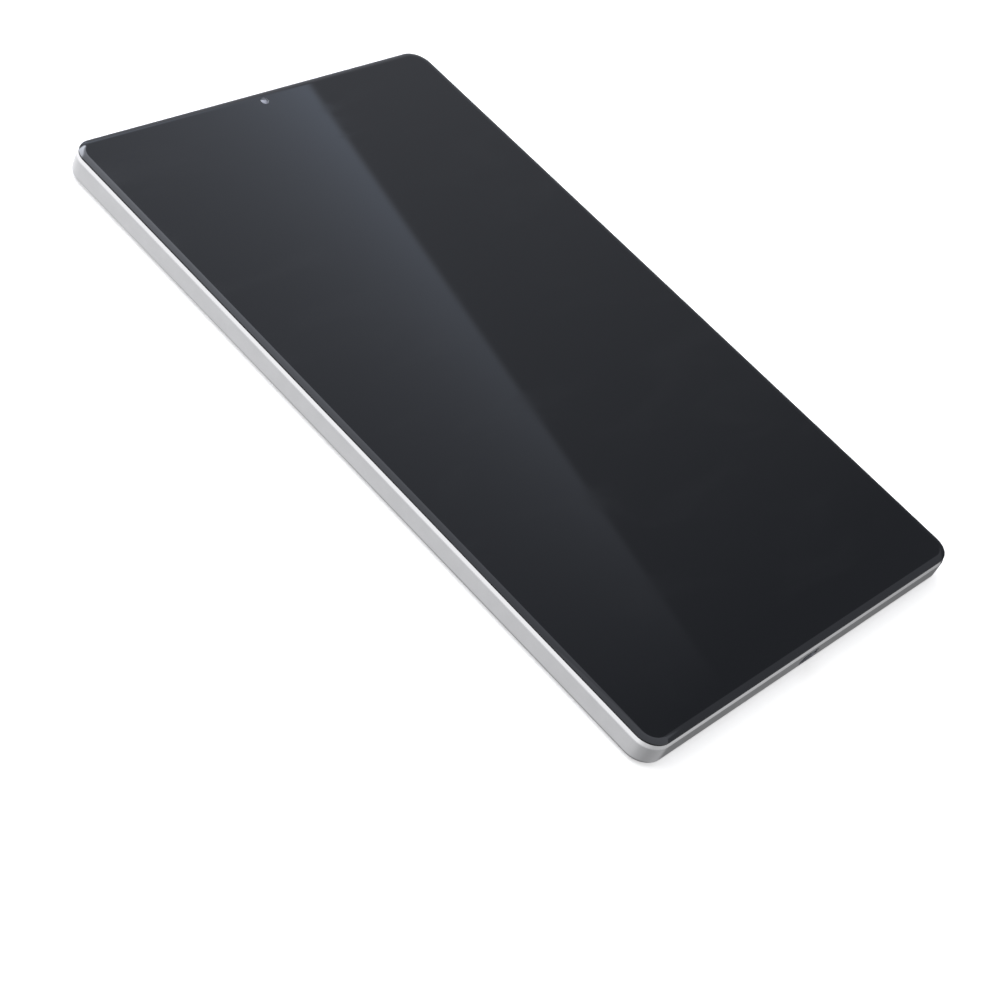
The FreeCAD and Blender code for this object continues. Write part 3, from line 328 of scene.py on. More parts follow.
# %% Band and turned rings
tree, given, out = group("band along an axis", {"Along X": 0.0, "Along Z": 1.0, "Low": 0.0, "High": 0.001,
                                              "Soft": 0.00003}, ["Mask"])
axis = add(tree, "ShaderNodeCombineXYZ", {"X": given["Along X"], "Z": given["Along Z"]}).outputs[0]
rise = along(tree, place_in(tree), axis)
over = math_node(tree, "DIVIDE", math_node(tree, "SUBTRACT", rise, given["Low"]), given["Soft"], clamp=True)
under = math_node(tree, "DIVIDE", math_node(tree, "SUBTRACT", given["High"], rise), given["Soft"], clamp=True)
tree.links.new(math_node(tree, "MULTIPLY", over, under), out["Mask"])
BAND = tree

tree, given, out = group("turned rings", {"Centre X": 0.0, "Centre Y": 0.0, "Pitch": 0.0001}, ["Radius", "Height"])
middle = add(tree, "ShaderNodeCombineXYZ", {"X": given["Centre X"], "Y": given["Centre Y"]}).outputs[0]
offset = add(tree, "ShaderNodeVectorMath", {0: place_in(tree), 1: middle}, operation="SUBTRACT").outputs[0]
flat = add(tree, "ShaderNodeVectorMath", {0: offset, 1: (1, 1, 0)}, operation="MULTIPLY").outputs[0]
radius = add(tree, "ShaderNodeVectorMath", {0: flat}, operation="LENGTH").outputs["Value"]
tree.links.new(radius, out["Radius"])
waves = math_node(tree, "DIVIDE", radius, given["Pitch"])
tree.links.new(math_node(tree, "PINGPONG", waves, 1.0), out["Height"])
RINGS = tree
print("groups:", [g.name for g in bpy.data.node_groups])

# %% Weave and printed tracks
tree, given, out = group("square weave", {"Pitch": 0.0003}, ["Height", "Hole"])
parts = add(tree, "ShaderNodeSeparateXYZ", {0: place_in(tree, given["Pitch"])}).outputs
across, lengthways, upright = [math_node(tree, "PINGPONG", parts[letter], 1.0) for letter in "XYZ"]
thread = math_node(tree, "MAXIMUM", across, math_node(tree, "MAXIMUM", lengthways, upright))
tree.links.new(thread, out["Height"])
between_threads = math_node(tree, "MULTIPLY", across, math_node(tree, "ADD", lengthways, upright))
tree.links.new(ramp_between(tree, between_threads, 0.35, 0.6), out["Hole"])
WEAVE = tree

tree, given, out = group("printed tracks", {"Pitch": 0.0012}, ["Track", "Pad"])
place = place_in(tree, given["Pitch"])
cells = add(tree, "ShaderNodeTexVoronoi", {"Vector": place, "Scale": 0.35}, distance="MANHATTAN",
            feature="F1").outputs
lines = math_node(tree, "PINGPONG", math_node(tree, "MULTIPLY", cells["Distance"], 6.0), 1.0)
tree.links.new(ramp_between(tree, lines, 0.55, 0.70), out["Track"])
dots = add(tree, "ShaderNodeTexVoronoi", {"Vector": place, "Scale": 0.8}).outputs["Distance"]
tree.links.new(ramp_between(tree, dots, 0.10, 0.16, 1.0, 0.0), out["Pad"])
TRACKS = tree
print("groups:", [g.name for g in bpy.data.node_groups])

# %% [markdown]
# ## Building a finish
# A finish is one Principled shader. Its constant values are set on the shader itself. One flat colour would look
# like a toy, so the parts that change over the surface come from a group: a tone that shifts the colour a
# little, a roughness that varies between two values, and a bump of a given depth.


# %% Finish helpers
def finish(name, colour, roughness, metallic=0.0, **constants):
    """New material with one Principled shader. constants are set on the shader's own sockets. The colour and
    roughness hold wherever no pattern is wired in."""
    made = bpy.data.materials.new(name)
    made.use_nodes = True
    shader = made.node_tree.nodes["Principled BSDF"]
    shader.inputs["Base Color"].default_value = (*colour, 1)
    shader.inputs["Roughness"].default_value = roughness
    shader.inputs["Metallic"].default_value = metallic
    for label, value in constants.items():
        shader.inputs[label.replace("_", " ")].default_value = value
    return made, made.node_tree, shader


def use(tree, shared, **values):
    """Places a shared group with its own values and gives its outputs."""
    placed = tree.nodes.new("ShaderNodeGroup")
    placed.node_tree = shared
    for label, value in values.items():
        placed.inputs[label.replace("_", " ")].default_value = value
    return placed.outputs


def bump(tree, shader, height, depth, strength=1.0):
    """Turns a height into a bump on the shader."""
    made = add(tree, "ShaderNodeBump", {"Height": height, "Distance": depth, "Strength": strength})
    tree.links.new(made.outputs[0], shader.inputs["Normal"])


def vary(tree, shader, factor, colours, rough):
    """Moves the colour and the roughness between two values with one factor."""
    light, dark = [(*c, 1) for c in colours]
    tree.links.new(mix_colour(tree, factor, light, dark), shader.inputs["Base Color"])
    tree.links.new(mix_value(tree, factor, rough[0], rough[1]), shader.inputs["Roughness"])


# %% [markdown]
# ## Silver frame and keys
# The frame's side is blasted with fine beads before it is anodised, which leaves a satin grain too small to see
# as dots. The steep facet under the glass is cut last with a diamond tool, so it is almost a mirror. One
# material covers both: a band between the facet's two heights swaps the roughness and stills the grain. The keys
# and the card tray are the same metal, and their rounded rims are polished, so their band runs outwards.

# %% Frame and key finishes
FACET_LOW, FACET_HIGH = 6.5 * MM, 7.9 * MM
SATIN, SATIN_DEEP = (0.80, 0.80, 0.805), (0.77, 0.77, 0.775)
POLISHED = (0.93, 0.93, 0.935)
SATIN_ROUGH, SMEAR_ROUGH, POLISHED_ROUGH = 0.28, 0.05, 0.09
BEAD_SIZE, BEAD_DEPTH = 0.09 * MM, 0.006 * MM
RIM_START, RIM_END, RIM_SOFTNESS = 0.20 * MM, 0.015 * MM, 0.01 * MM


def silver(name, **band):
    """Satin metal with a polished band. band says where the band lies."""
    made, tree, shader = finish(name, SATIN, 0.3, metallic=1.0)
    grain = use(tree, GRAIN, Size=BEAD_SIZE)
    polished = use(tree, BAND, **band)["Mask"]
    smears = use(tree, SMEARS, Size=20 * MM)["Mask"]
    tone = mix_colour(tree, grain["Tone"], (*SATIN, 1), (*SATIN_DEEP, 1))
    tree.links.new(mix_colour(tree, polished, tone, (*POLISHED, 1)), shader.inputs["Base Color"])
    rough = math_node(tree, "MULTIPLY_ADD", smears, SMEAR_ROUGH, SATIN_ROUGH)
    tree.links.new(mix_value(tree, polished, rough, POLISHED_ROUGH), shader.inputs["Roughness"])
    height = math_node(tree, "MULTIPLY", grain["Height"], math_node(tree, "SUBTRACT", 1.0, polished))
    bump(tree, shader, height, BEAD_DEPTH, 0.6)
    return made


key_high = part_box("volume_rocker")[1]
FINISH = {"satin_frame": silver("satin silver frame", Low=FACET_LOW, High=FACET_HIGH)}
FINISH["key_metal"] = silver("satin silver keys", Along_X=1.0, Along_Z=0.0, Low=key_high.x - RIM_START,
                             High=key_high.x - RIM_END, Soft=RIM_SOFTNESS)
print(sorted(FINISH))

# %% [markdown]
# ## Black front glass
# The front is clear glass with black ink and a dark display behind it, so from outside it is one deep black
# sheet. It could be made as clear glass over black parts, but light would then be traced through it for the same
# dark sheet, so it is one black surface with the gloss of glass. Almost all that shows is the mirror image of
# the studio, a few percent bright. A trace of handling makes the gloss uneven.

# %% Front glass finish
INK, INK_SMEARED = (0.0032, 0.0035, 0.0042), (0.0042, 0.0045, 0.0052)
glass, tree, shader = finish("black front glass", INK, 0.03, IOR=1.5)
smears = use(tree, SMEARS, Size=50 * MM)["Mask"]
dust = use(tree, GRAIN, Size=1.1 * MM)
vary(tree, shader, smears, (INK, INK_SMEARED), (0.02, 0.05))
bump(tree, shader, dust["Height"], 0.0002 * MM, 0.2)
FINISH["screen_glass"] = glass
print("front glass has", len(tree.nodes), "nodes")

# %% [markdown]
# ## White back
# The back is moulded plastic under a clear gloss, with the faint long waves of a moulded skin. A smooth white
# alone would look like paper, so the shader's coat mirrors the room, and the white under it stays even.

# %% White back finish
WHITE, WHITE_WORN = (0.92, 0.92, 0.93), (0.90, 0.903, 0.912)
panel, tree, shader = finish("gloss white back", WHITE, 0.12, Coat_Weight=0.6, Coat_Roughness=0.04)
waves = use(tree, GRAIN, Size=1.6 * MM)
smears = use(tree, SMEARS, Size=40 * MM)["Mask"]
vary(tree, shader, smears, (WHITE, WHITE_WORN), (0.10, 0.16))
bump(tree, shader, waves["Height"], 0.0015 * MM, 0.3)
FINISH["white_panel"] = panel
print(sorted(FINISH))

# %% [markdown]
# ## Rear camera finishes
# The rear camera and its flash sit in one dark window with a bright metal trim. The window is clear glass
# printed almost black with a blue cast. It could be clear glass over a black sheet, but a dark glossy surface
# looks the same and renders faster. Each opening has a thin turned ring, whose fine lathe rings catch the light.
# A clear cover lies over the lens, and the flash is a frosted white diffuser.

# %% Window and ring finishes
lens_low, lens_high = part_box("camera_ring")
flash_low, flash_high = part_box("flash_ring")
lens_x, lens_y = (lens_low.x + lens_high.x) / 2, (lens_low.y + lens_high.y) / 2
flash_y = (flash_low.y + flash_high.y) / 2

PRINT, PRINT_PALE = (0.006, 0.006, 0.017), (0.008, 0.009, 0.022)
made, tree, shader = finish("printed camera window", PRINT, 0.04, Specular_IOR_Level=0.16)
fleck = use(tree, GRAIN, Size=0.3 * MM)
vary(tree, shader, fleck["Tone"], (PRINT, PRINT_PALE), (0.03, 0.07))
FINISH["camera_glass"] = made

LATHE_PITCH = 0.08 * MM
made, tree, shader = finish("turned lens ring", (0.46, 0.46, 0.53), 0.25, metallic=1.0)
for_lens = use(tree, RINGS, Centre_X=lens_x, Centre_Y=lens_y, Pitch=LATHE_PITCH)
for_flash = use(tree, RINGS, Centre_X=lens_x, Centre_Y=flash_y, Pitch=LATHE_PITCH)
nearer = math_node(tree, "LESS_THAN", for_lens["Radius"], for_flash["Radius"])
groove = mix_value(tree, nearer, for_flash["Height"], for_lens["Height"])
vary(tree, shader, groove, ((0.40, 0.40, 0.47), (0.50, 0.50, 0.57)), (0.20, 0.32))
bump(tree, shader, groove, 0.012 * MM, 0.8)
FINISH["lens_ring"] = made
print("lens at", round(lens_x / MM, 2), round(lens_y / MM, 2), "flash at", round(flash_y / MM, 2))

# %% Trim, cover and flash finishes
made, tree, shader = finish("bright camera trim", (0.86, 0.86, 0.88), 0.14, metallic=1.0)
brushed = use(tree, GRAIN, Size=0.12 * MM)
vary(tree, shader, brushed["Tone"], ((0.88, 0.88, 0.90), (0.82, 0.82, 0.84)), (0.10, 0.20))
bump(tree, shader, brushed["Height"], 0.002 * MM, 0.5)
FINISH["polished_trim"] = made

made, tree, shader = finish("coated lens cover", (0.97, 0.98, 0.97), 0.015, Transmission_Weight=1.0, IOR=1.45)
specks = use(tree, SMEARS, Size=4 * MM)["Mask"]
vary(tree, shader, specks, ((0.97, 0.98, 0.97), (0.93, 0.95, 0.93)), (0.01, 0.04))
FINISH["lens_glass"] = made

made, tree, shader = finish("frosted flash diffuser", (0.84, 0.84, 0.82), 0.35, Coat_Weight=0.5)
ridges = use(tree, RINGS, Centre_X=lens_x, Centre_Y=flash_y, Pitch=0.10 * MM)
vary(tree, shader, ridges["Height"], ((0.86, 0.86, 0.84), (0.62, 0.62, 0.61)), (0.22, 0.40))
bump(tree, shader, ridges["Height"], 0.02 * MM, 0.5)
FINISH["flash_diffuser"] = made
print(sorted(FINISH))

# %% [markdown]
# ## Finishes with one grain
# Most pieces inside the tablet are one stamped, cast, moulded or rolled substance each. They share one recipe,
# a pair of colours and a pair of roughnesses mixed by the grain's tone, with a bump of the grain's height. So
# instead of sixteen materials written out, a table of values says all that differs between them.

# %% One-grain finishes
# slot: light colour, dark colour, roughness from and to, metallic, grain size and bump depth in millimetres
ONE_GRAIN = {
    "black_rubber": ((0.022, 0.022, 0.024), (0.014, 0.014, 0.015), 0.60, 0.80, 0, 0.15, 0.010),
    "clear_adhesive": ((0.80, 0.83, 0.87), (0.72, 0.76, 0.80), 0.15, 0.30, 0, 0.40, 0.002),
    "backlight_sheet": ((0.86, 0.87, 0.89), (0.80, 0.81, 0.83), 0.35, 0.50, 0, 0.25, 0.004),
    "black_foam": ((0.030, 0.030, 0.032), (0.012, 0.012, 0.013), 0.85, 0.98, 0, 0.30, 0.080),
    "magnesium_plate": ((0.52, 0.52, 0.51), (0.40, 0.40, 0.39), 0.42, 0.60, 1, 0.50, 0.030),
    "screw_steel": ((0.40, 0.40, 0.42), (0.28, 0.28, 0.30), 0.25, 0.42, 1, 0.10, 0.006),
    "graphite": ((0.055, 0.056, 0.060), (0.030, 0.031, 0.034), 0.38, 0.55, 0, 0.60, 0.010),
    "antenna_copper": ((0.86, 0.55, 0.38), (0.70, 0.42, 0.28), 0.22, 0.40, 1, 0.25, 0.004),
    "black_plastic": ((0.026, 0.026, 0.028), (0.016, 0.016, 0.018), 0.38, 0.58, 0, 0.20, 0.012),
    "led_phosphor": ((0.90, 0.74, 0.16), (0.80, 0.62, 0.10), 0.55, 0.75, 0, 0.08, 0.010),
    "adhesive_tape": ((0.90, 0.88, 0.80), (0.82, 0.80, 0.72), 0.50, 0.70, 0, 0.35, 0.008),
    "shield_steel": ((0.66, 0.66, 0.65), (0.54, 0.54, 0.53), 0.28, 0.44, 1, 0.40, 0.006),
    "chip_package": ((0.030, 0.030, 0.031), (0.018, 0.018, 0.019), 0.45, 0.65, 0, 0.10, 0.010),
    "switch_steel": ((0.72, 0.72, 0.70), (0.60, 0.60, 0.58), 0.16, 0.28, 1, 0.08, 0.003),
    "connector_steel": ((0.16, 0.16, 0.17), (0.09, 0.09, 0.10), 0.35, 0.50, 1, 0.18, 0.005),
    "contact_gold": ((0.95, 0.74, 0.36), (0.84, 0.62, 0.28), 0.16, 0.30, 1, 0.10, 0.003),
}
for name, (light, dark, smooth, rough, metal, size, depth) in ONE_GRAIN.items():
    made, tree, shader = finish(name.replace("_", " "), light, rough, metallic=float(metal))
    grain = use(tree, GRAIN, Size=size * MM)
    vary(tree, shader, grain["Tone"], (light, dark), (smooth, rough))
    bump(tree, shader, grain["Height"], depth * MM, 0.7)
    FINISH[name] = made
print(len(ONE_GRAIN), "one-grain finishes")

# %% [markdown]
# ## Finishes with a pattern
# Flat cables and boards carry printed copper tracks. The battery's pouch is dimpled foil. The speaker mesh is
# woven wire, and the display's glass holds a fine grid of cells. At this size real wires and tracks would cost
# far more than they show, so each pattern comes from a shared group.

# %% Cable and board finishes
made, tree, shader = finish("orange flat cable", (0.55, 0.20, 0.05), 0.35, Coat_Weight=0.3)
tracks = use(tree, TRACKS, Pitch=0.6 * MM)
vary(tree, shader, tracks["Track"], ((0.42, 0.16, 0.045), (0.62, 0.29, 0.09)), (0.42, 0.28))
bump(tree, shader, tracks["Track"], 0.02 * MM, 0.6)
FINISH["flex_circuit"] = made

made, tree, shader = finish("green circuit board", (0.015, 0.09, 0.05), 0.4, Coat_Weight=0.4)
tracks = use(tree, TRACKS, Pitch=1.1 * MM)
masked = mix_colour(tree, tracks["Track"], (0.010, 0.075, 0.040, 1), (0.030, 0.150, 0.080, 1))
tree.links.new(mix_colour(tree, tracks["Pad"], masked, (0.80, 0.62, 0.30, 1)), shader.inputs["Base Color"])
tree.links.new(mix_value(tree, tracks["Pad"], 0.0, 1.0), shader.inputs["Metallic"])
tree.links.new(mix_value(tree, tracks["Pad"], 0.42, 0.25), shader.inputs["Roughness"])
bump(tree, shader, tracks["Track"], 0.03 * MM, 0.6)
FINISH["circuit_board"] = made

# %% Foil, mesh and display finishes
made, tree, shader = finish("battery pouch foil", (0.62, 0.63, 0.65), 0.3, metallic=0.7)
dimples = use(tree, GRAIN, Size=0.9 * MM)
wrap = use(tree, SMEARS, Size=20 * MM)["Mask"]
vary(tree, shader, wrap, ((0.64, 0.65, 0.67), (0.52, 0.53, 0.56)), (0.28, 0.42))
bump(tree, shader, dimples["Height"], 0.06 * MM, 0.5)
FINISH["battery_pouch"] = made

made, tree, shader = finish("black wire mesh", (0.05, 0.05, 0.055), 0.4, metallic=0.6)
weave = use(tree, WEAVE, Pitch=0.14 * MM)
# Painted shade: the holes between the threads are painted near black, for the dark cavity seen through them.
vary(tree, shader, weave["Hole"], ((0.09, 0.09, 0.095), (0.010, 0.010, 0.011)), (0.34, 0.80))
bump(tree, shader, weave["Height"], 0.05 * MM)
FINISH["black_mesh"] = made

made, tree, shader = finish("display cell glass", (0.020, 0.021, 0.026), 0.08, Coat_Weight=0.3)
grid = use(tree, WEAVE, Pitch=0.1 * MM)
vary(tree, shader, grid["Hole"], ((0.024, 0.025, 0.031), (0.012, 0.013, 0.017)), (0.07, 0.14))
FINISH["display_cell"] = made
print(len(FINISH), "finishes in all")

# %% [markdown]
# ## Putting the finishes on
# Each solid has a named finish in the model's own record. A list here could fall out of step with it, so one
# loop reads the record, hands the finishes out, and stops if a name has none.

# %% Assign finishes to the solids
for part in frame["record"]["subparts"]:
    solid = nodes[part["node"]]
    for place in solid.material_slots:
        place.material = FINISH[part["material_slot"]]
print("finished", len(nodes), "solids")

# %% [markdown]
# ## Making new surfaces
# A new piece could start from a ready-made cylinder, cut and bevelled. Here it is an array of points worked out
# at once, with rows along its profile and columns round it, so its shape is exactly its formula. The helpers
# below join neighbouring rows and columns with faces, turn the faces outwards if the volume inside them comes
# out negative, and mark the edges that bend by more than a given angle as sharp.


# %% Surface helpers
def grid_faces(rows, columns, close_rows):
    """Four corners of each face between neighbouring rows and columns. Columns always close on themselves, rows
    only when asked."""
    row = np.arange(rows if close_rows else rows - 1)[:, None] * columns
    below = (row + columns) % (rows * columns)
    here, after = np.arange(columns), (np.arange(columns) + 1) % columns
    return np.stack([row + here, row + after, below + after, below + here], axis=-1).reshape(-1, 4)


def make_piece(name, points, faces, finish_made, sharp=35.0):
    """Mesh piece on the chassis. Its volume is a sixth of the sum of a . (b x c) over its triangles' corners, and
    comes out negative when the faces point inwards."""
    mesh = bpy.data.meshes.new(name)
    mesh.from_pydata(points, [], faces)
    mesh.calc_loop_triangles()
    corners = np.empty(3 * len(mesh.loop_triangles), dtype=np.int32)
    mesh.loop_triangles.foreach_get("vertices", corners)
    a, b, c = points[corners.reshape(-1, 3)].transpose(1, 0, 2)
    volume = np.einsum("ij,ij->i", a, np.cross(b, c)).sum() / 6
    if volume < 0:
        mesh.flip_normals()
    mesh.polygons.foreach_set("use_smooth", np.ones(len(mesh.polygons), dtype=bool))
    mesh.set_sharp_from_angle(angle=math.radians(sharp))
    mesh.materials.append(finish_made)
    piece = bpy.data.objects.new(name, mesh)
    bpy.context.scene.collection.objects.link(piece)
    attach(piece, "chassis")
    print(name, "has", len(faces), "faces and", round(abs(volume) / MM ** 3, 2), "mm3")
    return piece


def lathe(name, profile, centre, finish_made, steps=96, sharp=35.0):
    """Turned piece. profile is rows of radius and height in millimetres, and each row with a radius becomes a
    ring of points at radius times (cos, sin). A row of no radius is a pole, one point with a fan of triangles.
    A profile with no pole closes on itself."""
    profile = np.array(profile, dtype=float) * MM
    angle = np.arange(steps) * 2 * math.pi / steps
    rings = profile[profile[:, 0] > 0]
    x = centre[0] + rings[:, :1] * np.cos(angle)
    y = centre[1] + rings[:, :1] * np.sin(angle)
    z = np.broadcast_to(rings[:, 1:], x.shape)
    points = np.stack([x, y, z], axis=-1).reshape(-1, 3)
    poles = profile[profile[:, 0] == 0, 1]
    faces = grid_faces(len(rings), steps, close_rows=len(poles) == 0).tolist()
    if len(poles):
        here, after = np.arange(steps), (np.arange(steps) + 1) % steps
        last = (len(rings) - 1) * steps
        top, bottom = np.full(steps, len(points)), np.full(steps, len(points) + 1)
        faces += np.stack([after, here, top], axis=-1).tolist()
        faces += np.stack([last + here, last + after, bottom], axis=-1).tolist()
        points = np.vstack([points, [(centre[0], centre[1], height) for height in poles]])
    return make_piece(name, points, faces, finish_made, sharp)


# %% [markdown]
# ## Curved front glass
# The cover glass is flat over the display, and its last two millimetres curve down to a short upright edge, so
# the studio runs round the rim as a paler line. The black ink has one small round opening for the front camera.
# The glass could be a bevelled plate with a hole cut in it, but a cut leaves uneven faces that ripple in the
# reflection. Instead every column of points runs from the hole's wall straight out to the rim and over its
# curve, so all faces of the flat lie in one plane.

# %% Rim and hole of the front glass
glass_low, glass_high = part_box("cover_glass")
camera_low, camera_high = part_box("front_camera")
EYE = np.array([(camera_low.x + camera_high.x) / 2, (camera_low.y + camera_high.y) / 2])
EYE_RADIUS = 1.4 * MM
GLASS_CORNER = 6.55 * MM
CURVE_WIDTH, GLASS_WALL = 2.0 * MM, 0.35 * MM
TINY = 0.02 * MM
FLAT_START = CURVE_WIDTH + TINY
CORNER_COLUMNS, LEAST_SIDE_COLUMNS, SIDE_STEP = 28, 8, math.radians(4)
CURVE_ROWS = 25
print("eye at", (EYE / MM).round(2), "glass from", [round(c / MM, 2) for c in glass_low])


def rim_columns(half_x, half_y, radius):
    """Columns round a rounded rectangle, as centres and directions, so that a point at some inset is its centre
    plus (radius - inset) times its direction. Corners are even in angle. On a side the points are even in angle
    seen from the eye: distance from the eye's foot = eye's distance from the side times the tangent."""
    centres, directions = [], []
    for quarter in range(4):
        angle = quarter * math.pi / 2 + np.linspace(0, math.pi / 2, CORNER_COLUMNS)
        diagonal = quarter * math.pi / 2 + math.pi / 4
        corner = np.sign([math.cos(diagonal), math.sin(diagonal)]) * (half_x - radius, half_y - radius)
        centres.append(np.broadcast_to(corner, (CORNER_COLUMNS, 2)))
        directions.append(np.stack([np.cos(angle), np.sin(angle)], axis=-1))
        outward = np.array([math.cos(angle[-1]), math.sin(angle[-1])]).round()
        sideways = np.array([-outward[1], outward[0]])
        eye_distance = (corner - EYE) @ outward + radius - FLAT_START
        side_start = (corner - EYE) @ sideways
        side_end = side_start + 2 * abs(sideways @ (half_x - radius, half_y - radius))
        low, high = math.atan2(side_start, eye_distance), math.atan2(side_end, eye_distance)
        count = max(LEAST_SIDE_COLUMNS, round((high - low) / SIDE_STEP))
        foot_distance = eye_distance * np.tan(np.linspace(low, high, count + 2)[1:-1])
        centres.append(corner + (foot_distance - side_start)[:, None] * sideways)
        directions.append(np.broadcast_to(outward, (count, 2)))
    return np.vstack(centres), np.vstack(directions)


# %% Front glass
def front_glass():
    """Rows from the foot of the upright edge up, over the curve, across the flat, into the hole and down its
    wall. The curve is an arc that is level where it meets the flat: height = top - R + sqrt(R^2 - d^2), with d
    the distance out from the flat and R = (width^2 + drop^2) / (2 drop)."""
    half = (glass_high - glass_low) / 2
    centres, directions = rim_columns(half.x, half.y, GLASS_CORNER)
    top, foot = glass_high.z, glass_low.z
    drop = top - foot - GLASS_WALL
    sweep = (CURVE_WIDTH ** 2 + drop ** 2) / (2 * drop)
    outward = np.linspace(CURVE_WIDTH, 0, CURVE_ROWS)
    inset = np.concatenate([[3 * TINY, 0], CURVE_WIDTH - outward, [FLAT_START]])
    curve = top - sweep + np.sqrt(sweep ** 2 - outward ** 2)
    height = np.concatenate([[foot, foot + 3 * TINY], curve, [top]])
    rim = centres[None] + (GLASS_CORNER - inset)[:, None, None] * directions[None]
    rim = np.concatenate([rim, np.broadcast_to(height[:, None, None], rim.shape[:2] + (1,))], axis=-1)
    away = rim[-1, :, :2] - EYE
    away /= np.linalg.norm(away, axis=1, keepdims=True)
    wall = ((EYE_RADIUS + TINY, top), (EYE_RADIUS, top - TINY), (EYE_RADIUS, foot))
    hole = np.stack([np.column_stack([EYE + size * away, np.full(len(away), level)]) for size, level in wall])
    points = np.concatenate([rim, hole])
    faces = grid_faces(len(points), len(centres), close_rows=True).tolist()
    return make_piece("front_glass", points.reshape(-1, 3), faces, FINISH["screen_glass"])


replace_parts(front_glass(), "cover_glass")

# %% [markdown]
# ## Front camera
# Behind its opening in the ink, the camera shows as a dark ring with a small domed lens in it, under the same
# flat glass. A painted disc would stay flat from every side, so the parts are turned: a window disc of clear
# glass, flush with the front, then a stepped black iris that narrows, and the lens, whose violet gleam is a
# painted reflection in its colour.


# %% Painted-gleam lens finish, dome and steps
def coated(name, centre, radius, core, edge, gloss):
    """Lens whose base colour paints the coating's gleam, a painted reflection: paler in the middle, darker towards
    the rim. gloss is the roughness of its coat.
    """
    made, tree, shader = finish(name, core, 0.03, Coat_Weight=1.0, Coat_Roughness=gloss, IOR=1.7)
    ring = use(tree, RINGS, Centre_X=centre[0], Centre_Y=centre[1], Pitch=radius / 3)
    outward = ramp_between(tree, ring["Radius"], 0.15 * radius, radius)
    vary(tree, shader, outward, (core, edge), (gloss, gloss + 0.04))
    return made


def dome(radius, foot, rise, count=10):
    """Profile of a shallow dome from its pole to its rim: height = foot + rise times (1 - (r / radius)^2)."""
    r = np.linspace(0, radius, count)
    return list(zip(r, foot + rise * (1 - (r / radius) ** 2)))


def stepped(face, way, rows):
    """Profile from rows of radius and depth behind a face: height = face + way times depth, way being 1 or -1."""
    return [(radius, face + way * depth) for radius, depth in rows]


# %% Front camera pieces
CLEARANCE = 0.02
# Painted gleam: the pale violet middle of the lens's colour stands in for the reflection in its coating.
VIOLET_GLEAM_LENS = coated("violet lens with painted gleam", EYE, 1.2 * MM, (0.30, 0.28, 0.33), (0.14, 0.12, 0.17), 0.30)
TOP, FOOT = glass_high.z / MM, glass_low.z / MM + CLEARANCE
EYE_FIT = EYE_RADIUS / MM - 0.01
IRIS_OPENING, LENS_RADIUS, LENS_DEPTH, LENS_RISE = 1.13, 1.12, 0.50, 0.17

lathe("front_camera_window", stepped(TOP, -1, [(0, 0.001), (EYE_FIT - 0.02, 0.001), (EYE_FIT, 0.02),
                                               (EYE_FIT, 0.30), (0, 0.30)]),
      EYE, FINISH["lens_glass"])
iris_steps = [(EYE_FIT, 0.32), (1.30, 0.33), (1.28, 0.38), (1.20, 0.39), (1.18, 0.44), (IRIS_OPENING, 0.45)]
lathe("front_camera_iris", stepped(TOP, -1, iris_steps) + [(IRIS_OPENING, FOOT), (EYE_FIT, FOOT)],
      EYE, FINISH["black_plastic"])
lathe("front_camera_lens", dome(LENS_RADIUS, TOP - LENS_DEPTH, LENS_RISE)
      + [(LENS_RADIUS, FOOT + 0.01), (0, FOOT + 0.01)], EYE, VIOLET_GLEAM_LENS)

# %% [markdown]
# ## Rear lens and flash
# Looking into the rear camera, one sees stepped black baffles and a deep green lens, whose coating's gleam is
# painted into its colour. They sit between the window's clear cover and the camera body. The flash beside it is a
# smaller disc in a black surround, with fine ring-shaped ridges that spread the light of the small lamp behind it.

# %% Rear lens pieces
REAR = (lens_x, lens_y)
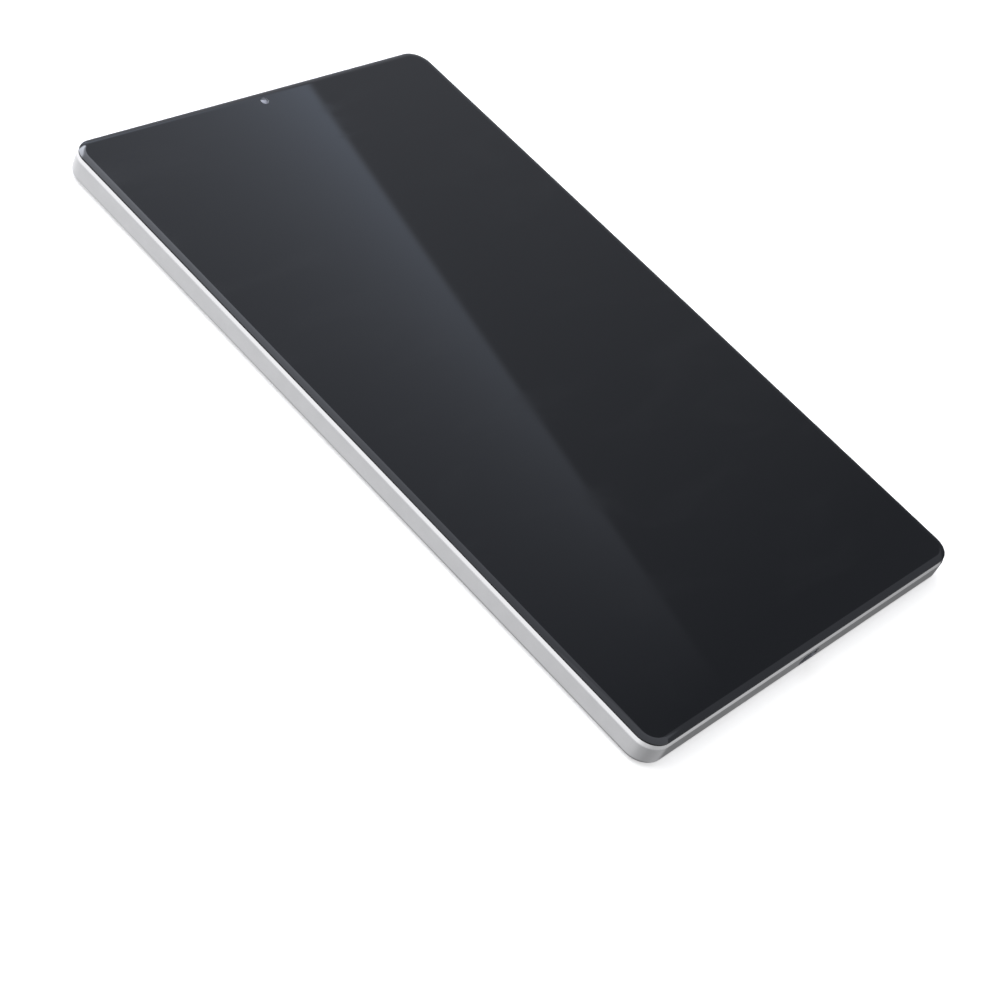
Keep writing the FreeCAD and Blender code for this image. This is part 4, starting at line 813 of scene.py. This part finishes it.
# Painted gleam: the green of the lens's colour, paler in the middle, stands in for the reflection in its coating.
GREEN_GLEAM_LENS = coated("green lens with painted gleam", REAR, 1.3 * MM, (0.16, 0.24, 0.20), (0.02, 0.03, 0.045), 0.03)
COVER_GAP = 0.05
cover_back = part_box("camera_lens_cover")[1].z / MM + COVER_GAP
ELEMENT_RADIUS, ELEMENT_DEPTH, ELEMENT_BACK, ELEMENT_RISE = 1.38, 0.40, 0.60, -0.22

baffle_steps = [(2.05, 0), (1.90, 0.02), (1.86, 0.14), (1.66, 0.16), (1.62, 0.28), (1.40, 0.30), (1.40, 0.62),
                (2.05, 0.62)]
lathe("rear_lens_baffle", stepped(cover_back, 1, baffle_steps), REAR, FINISH["black_plastic"])
lathe("rear_lens_element", dome(ELEMENT_RADIUS, cover_back + ELEMENT_DEPTH, ELEMENT_RISE)
      + stepped(cover_back, 1, [(ELEMENT_RADIUS, ELEMENT_BACK), (0, ELEMENT_BACK)]),
      REAR, GREEN_GLEAM_LENS)

# %% Flash pieces
flash_face, flash_back = [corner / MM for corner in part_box("flash_lens")]
flash_radius = (flash_back.x - flash_face.x) / 2
face, depth = flash_face.z, flash_back.z - flash_face.z
FLASH = (lens_x, flash_y)
RIDGES, CREST, VALLEY, DIFFUSER = 8, 0.09, 0.045, 1.75

ridge_radii = np.linspace(0, DIFFUSER - 0.10, 2 * RIDGES + 1)
ridge_depths = np.where(np.arange(len(ridge_radii)) % 2 == 0, CREST, VALLEY)
ridged = list(zip(ridge_radii, ridge_depths)) + [(DIFFUSER - 0.03, 0.04), (DIFFUSER, 0.07), (DIFFUSER, depth),
                                                 (0, depth)]
flash = lathe("flash_diffuser", stepped(face, 1, ridged), FLASH, FINISH["flash_diffuser"],
              sharp=80.0)
surround = [(flash_radius, 0.04), (flash_radius - 0.04, 0), (2.50, 0), (2.46, 0.10), (2.10, 0.12), (2.06, 0.20),
            (DIFFUSER + 0.02, 0.22), (DIFFUSER + 0.02, depth), (flash_radius, depth)]
lathe("flash_surround", stepped(face, 1, surround), FLASH, FINISH["black_plastic"])
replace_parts(flash, "flash_lens")

# %% [markdown]
# The finished model's box is set against the solids' box, and how far it has grown is printed.

# %% Compare both boxes
seen_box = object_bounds()
growth = [abs(seen - solid) / MM for one, two in zip(cad_box, seen_box) for solid, seen in zip(one, two)]
print("grown by, in mm:", [round(size, 3) for size in growth])
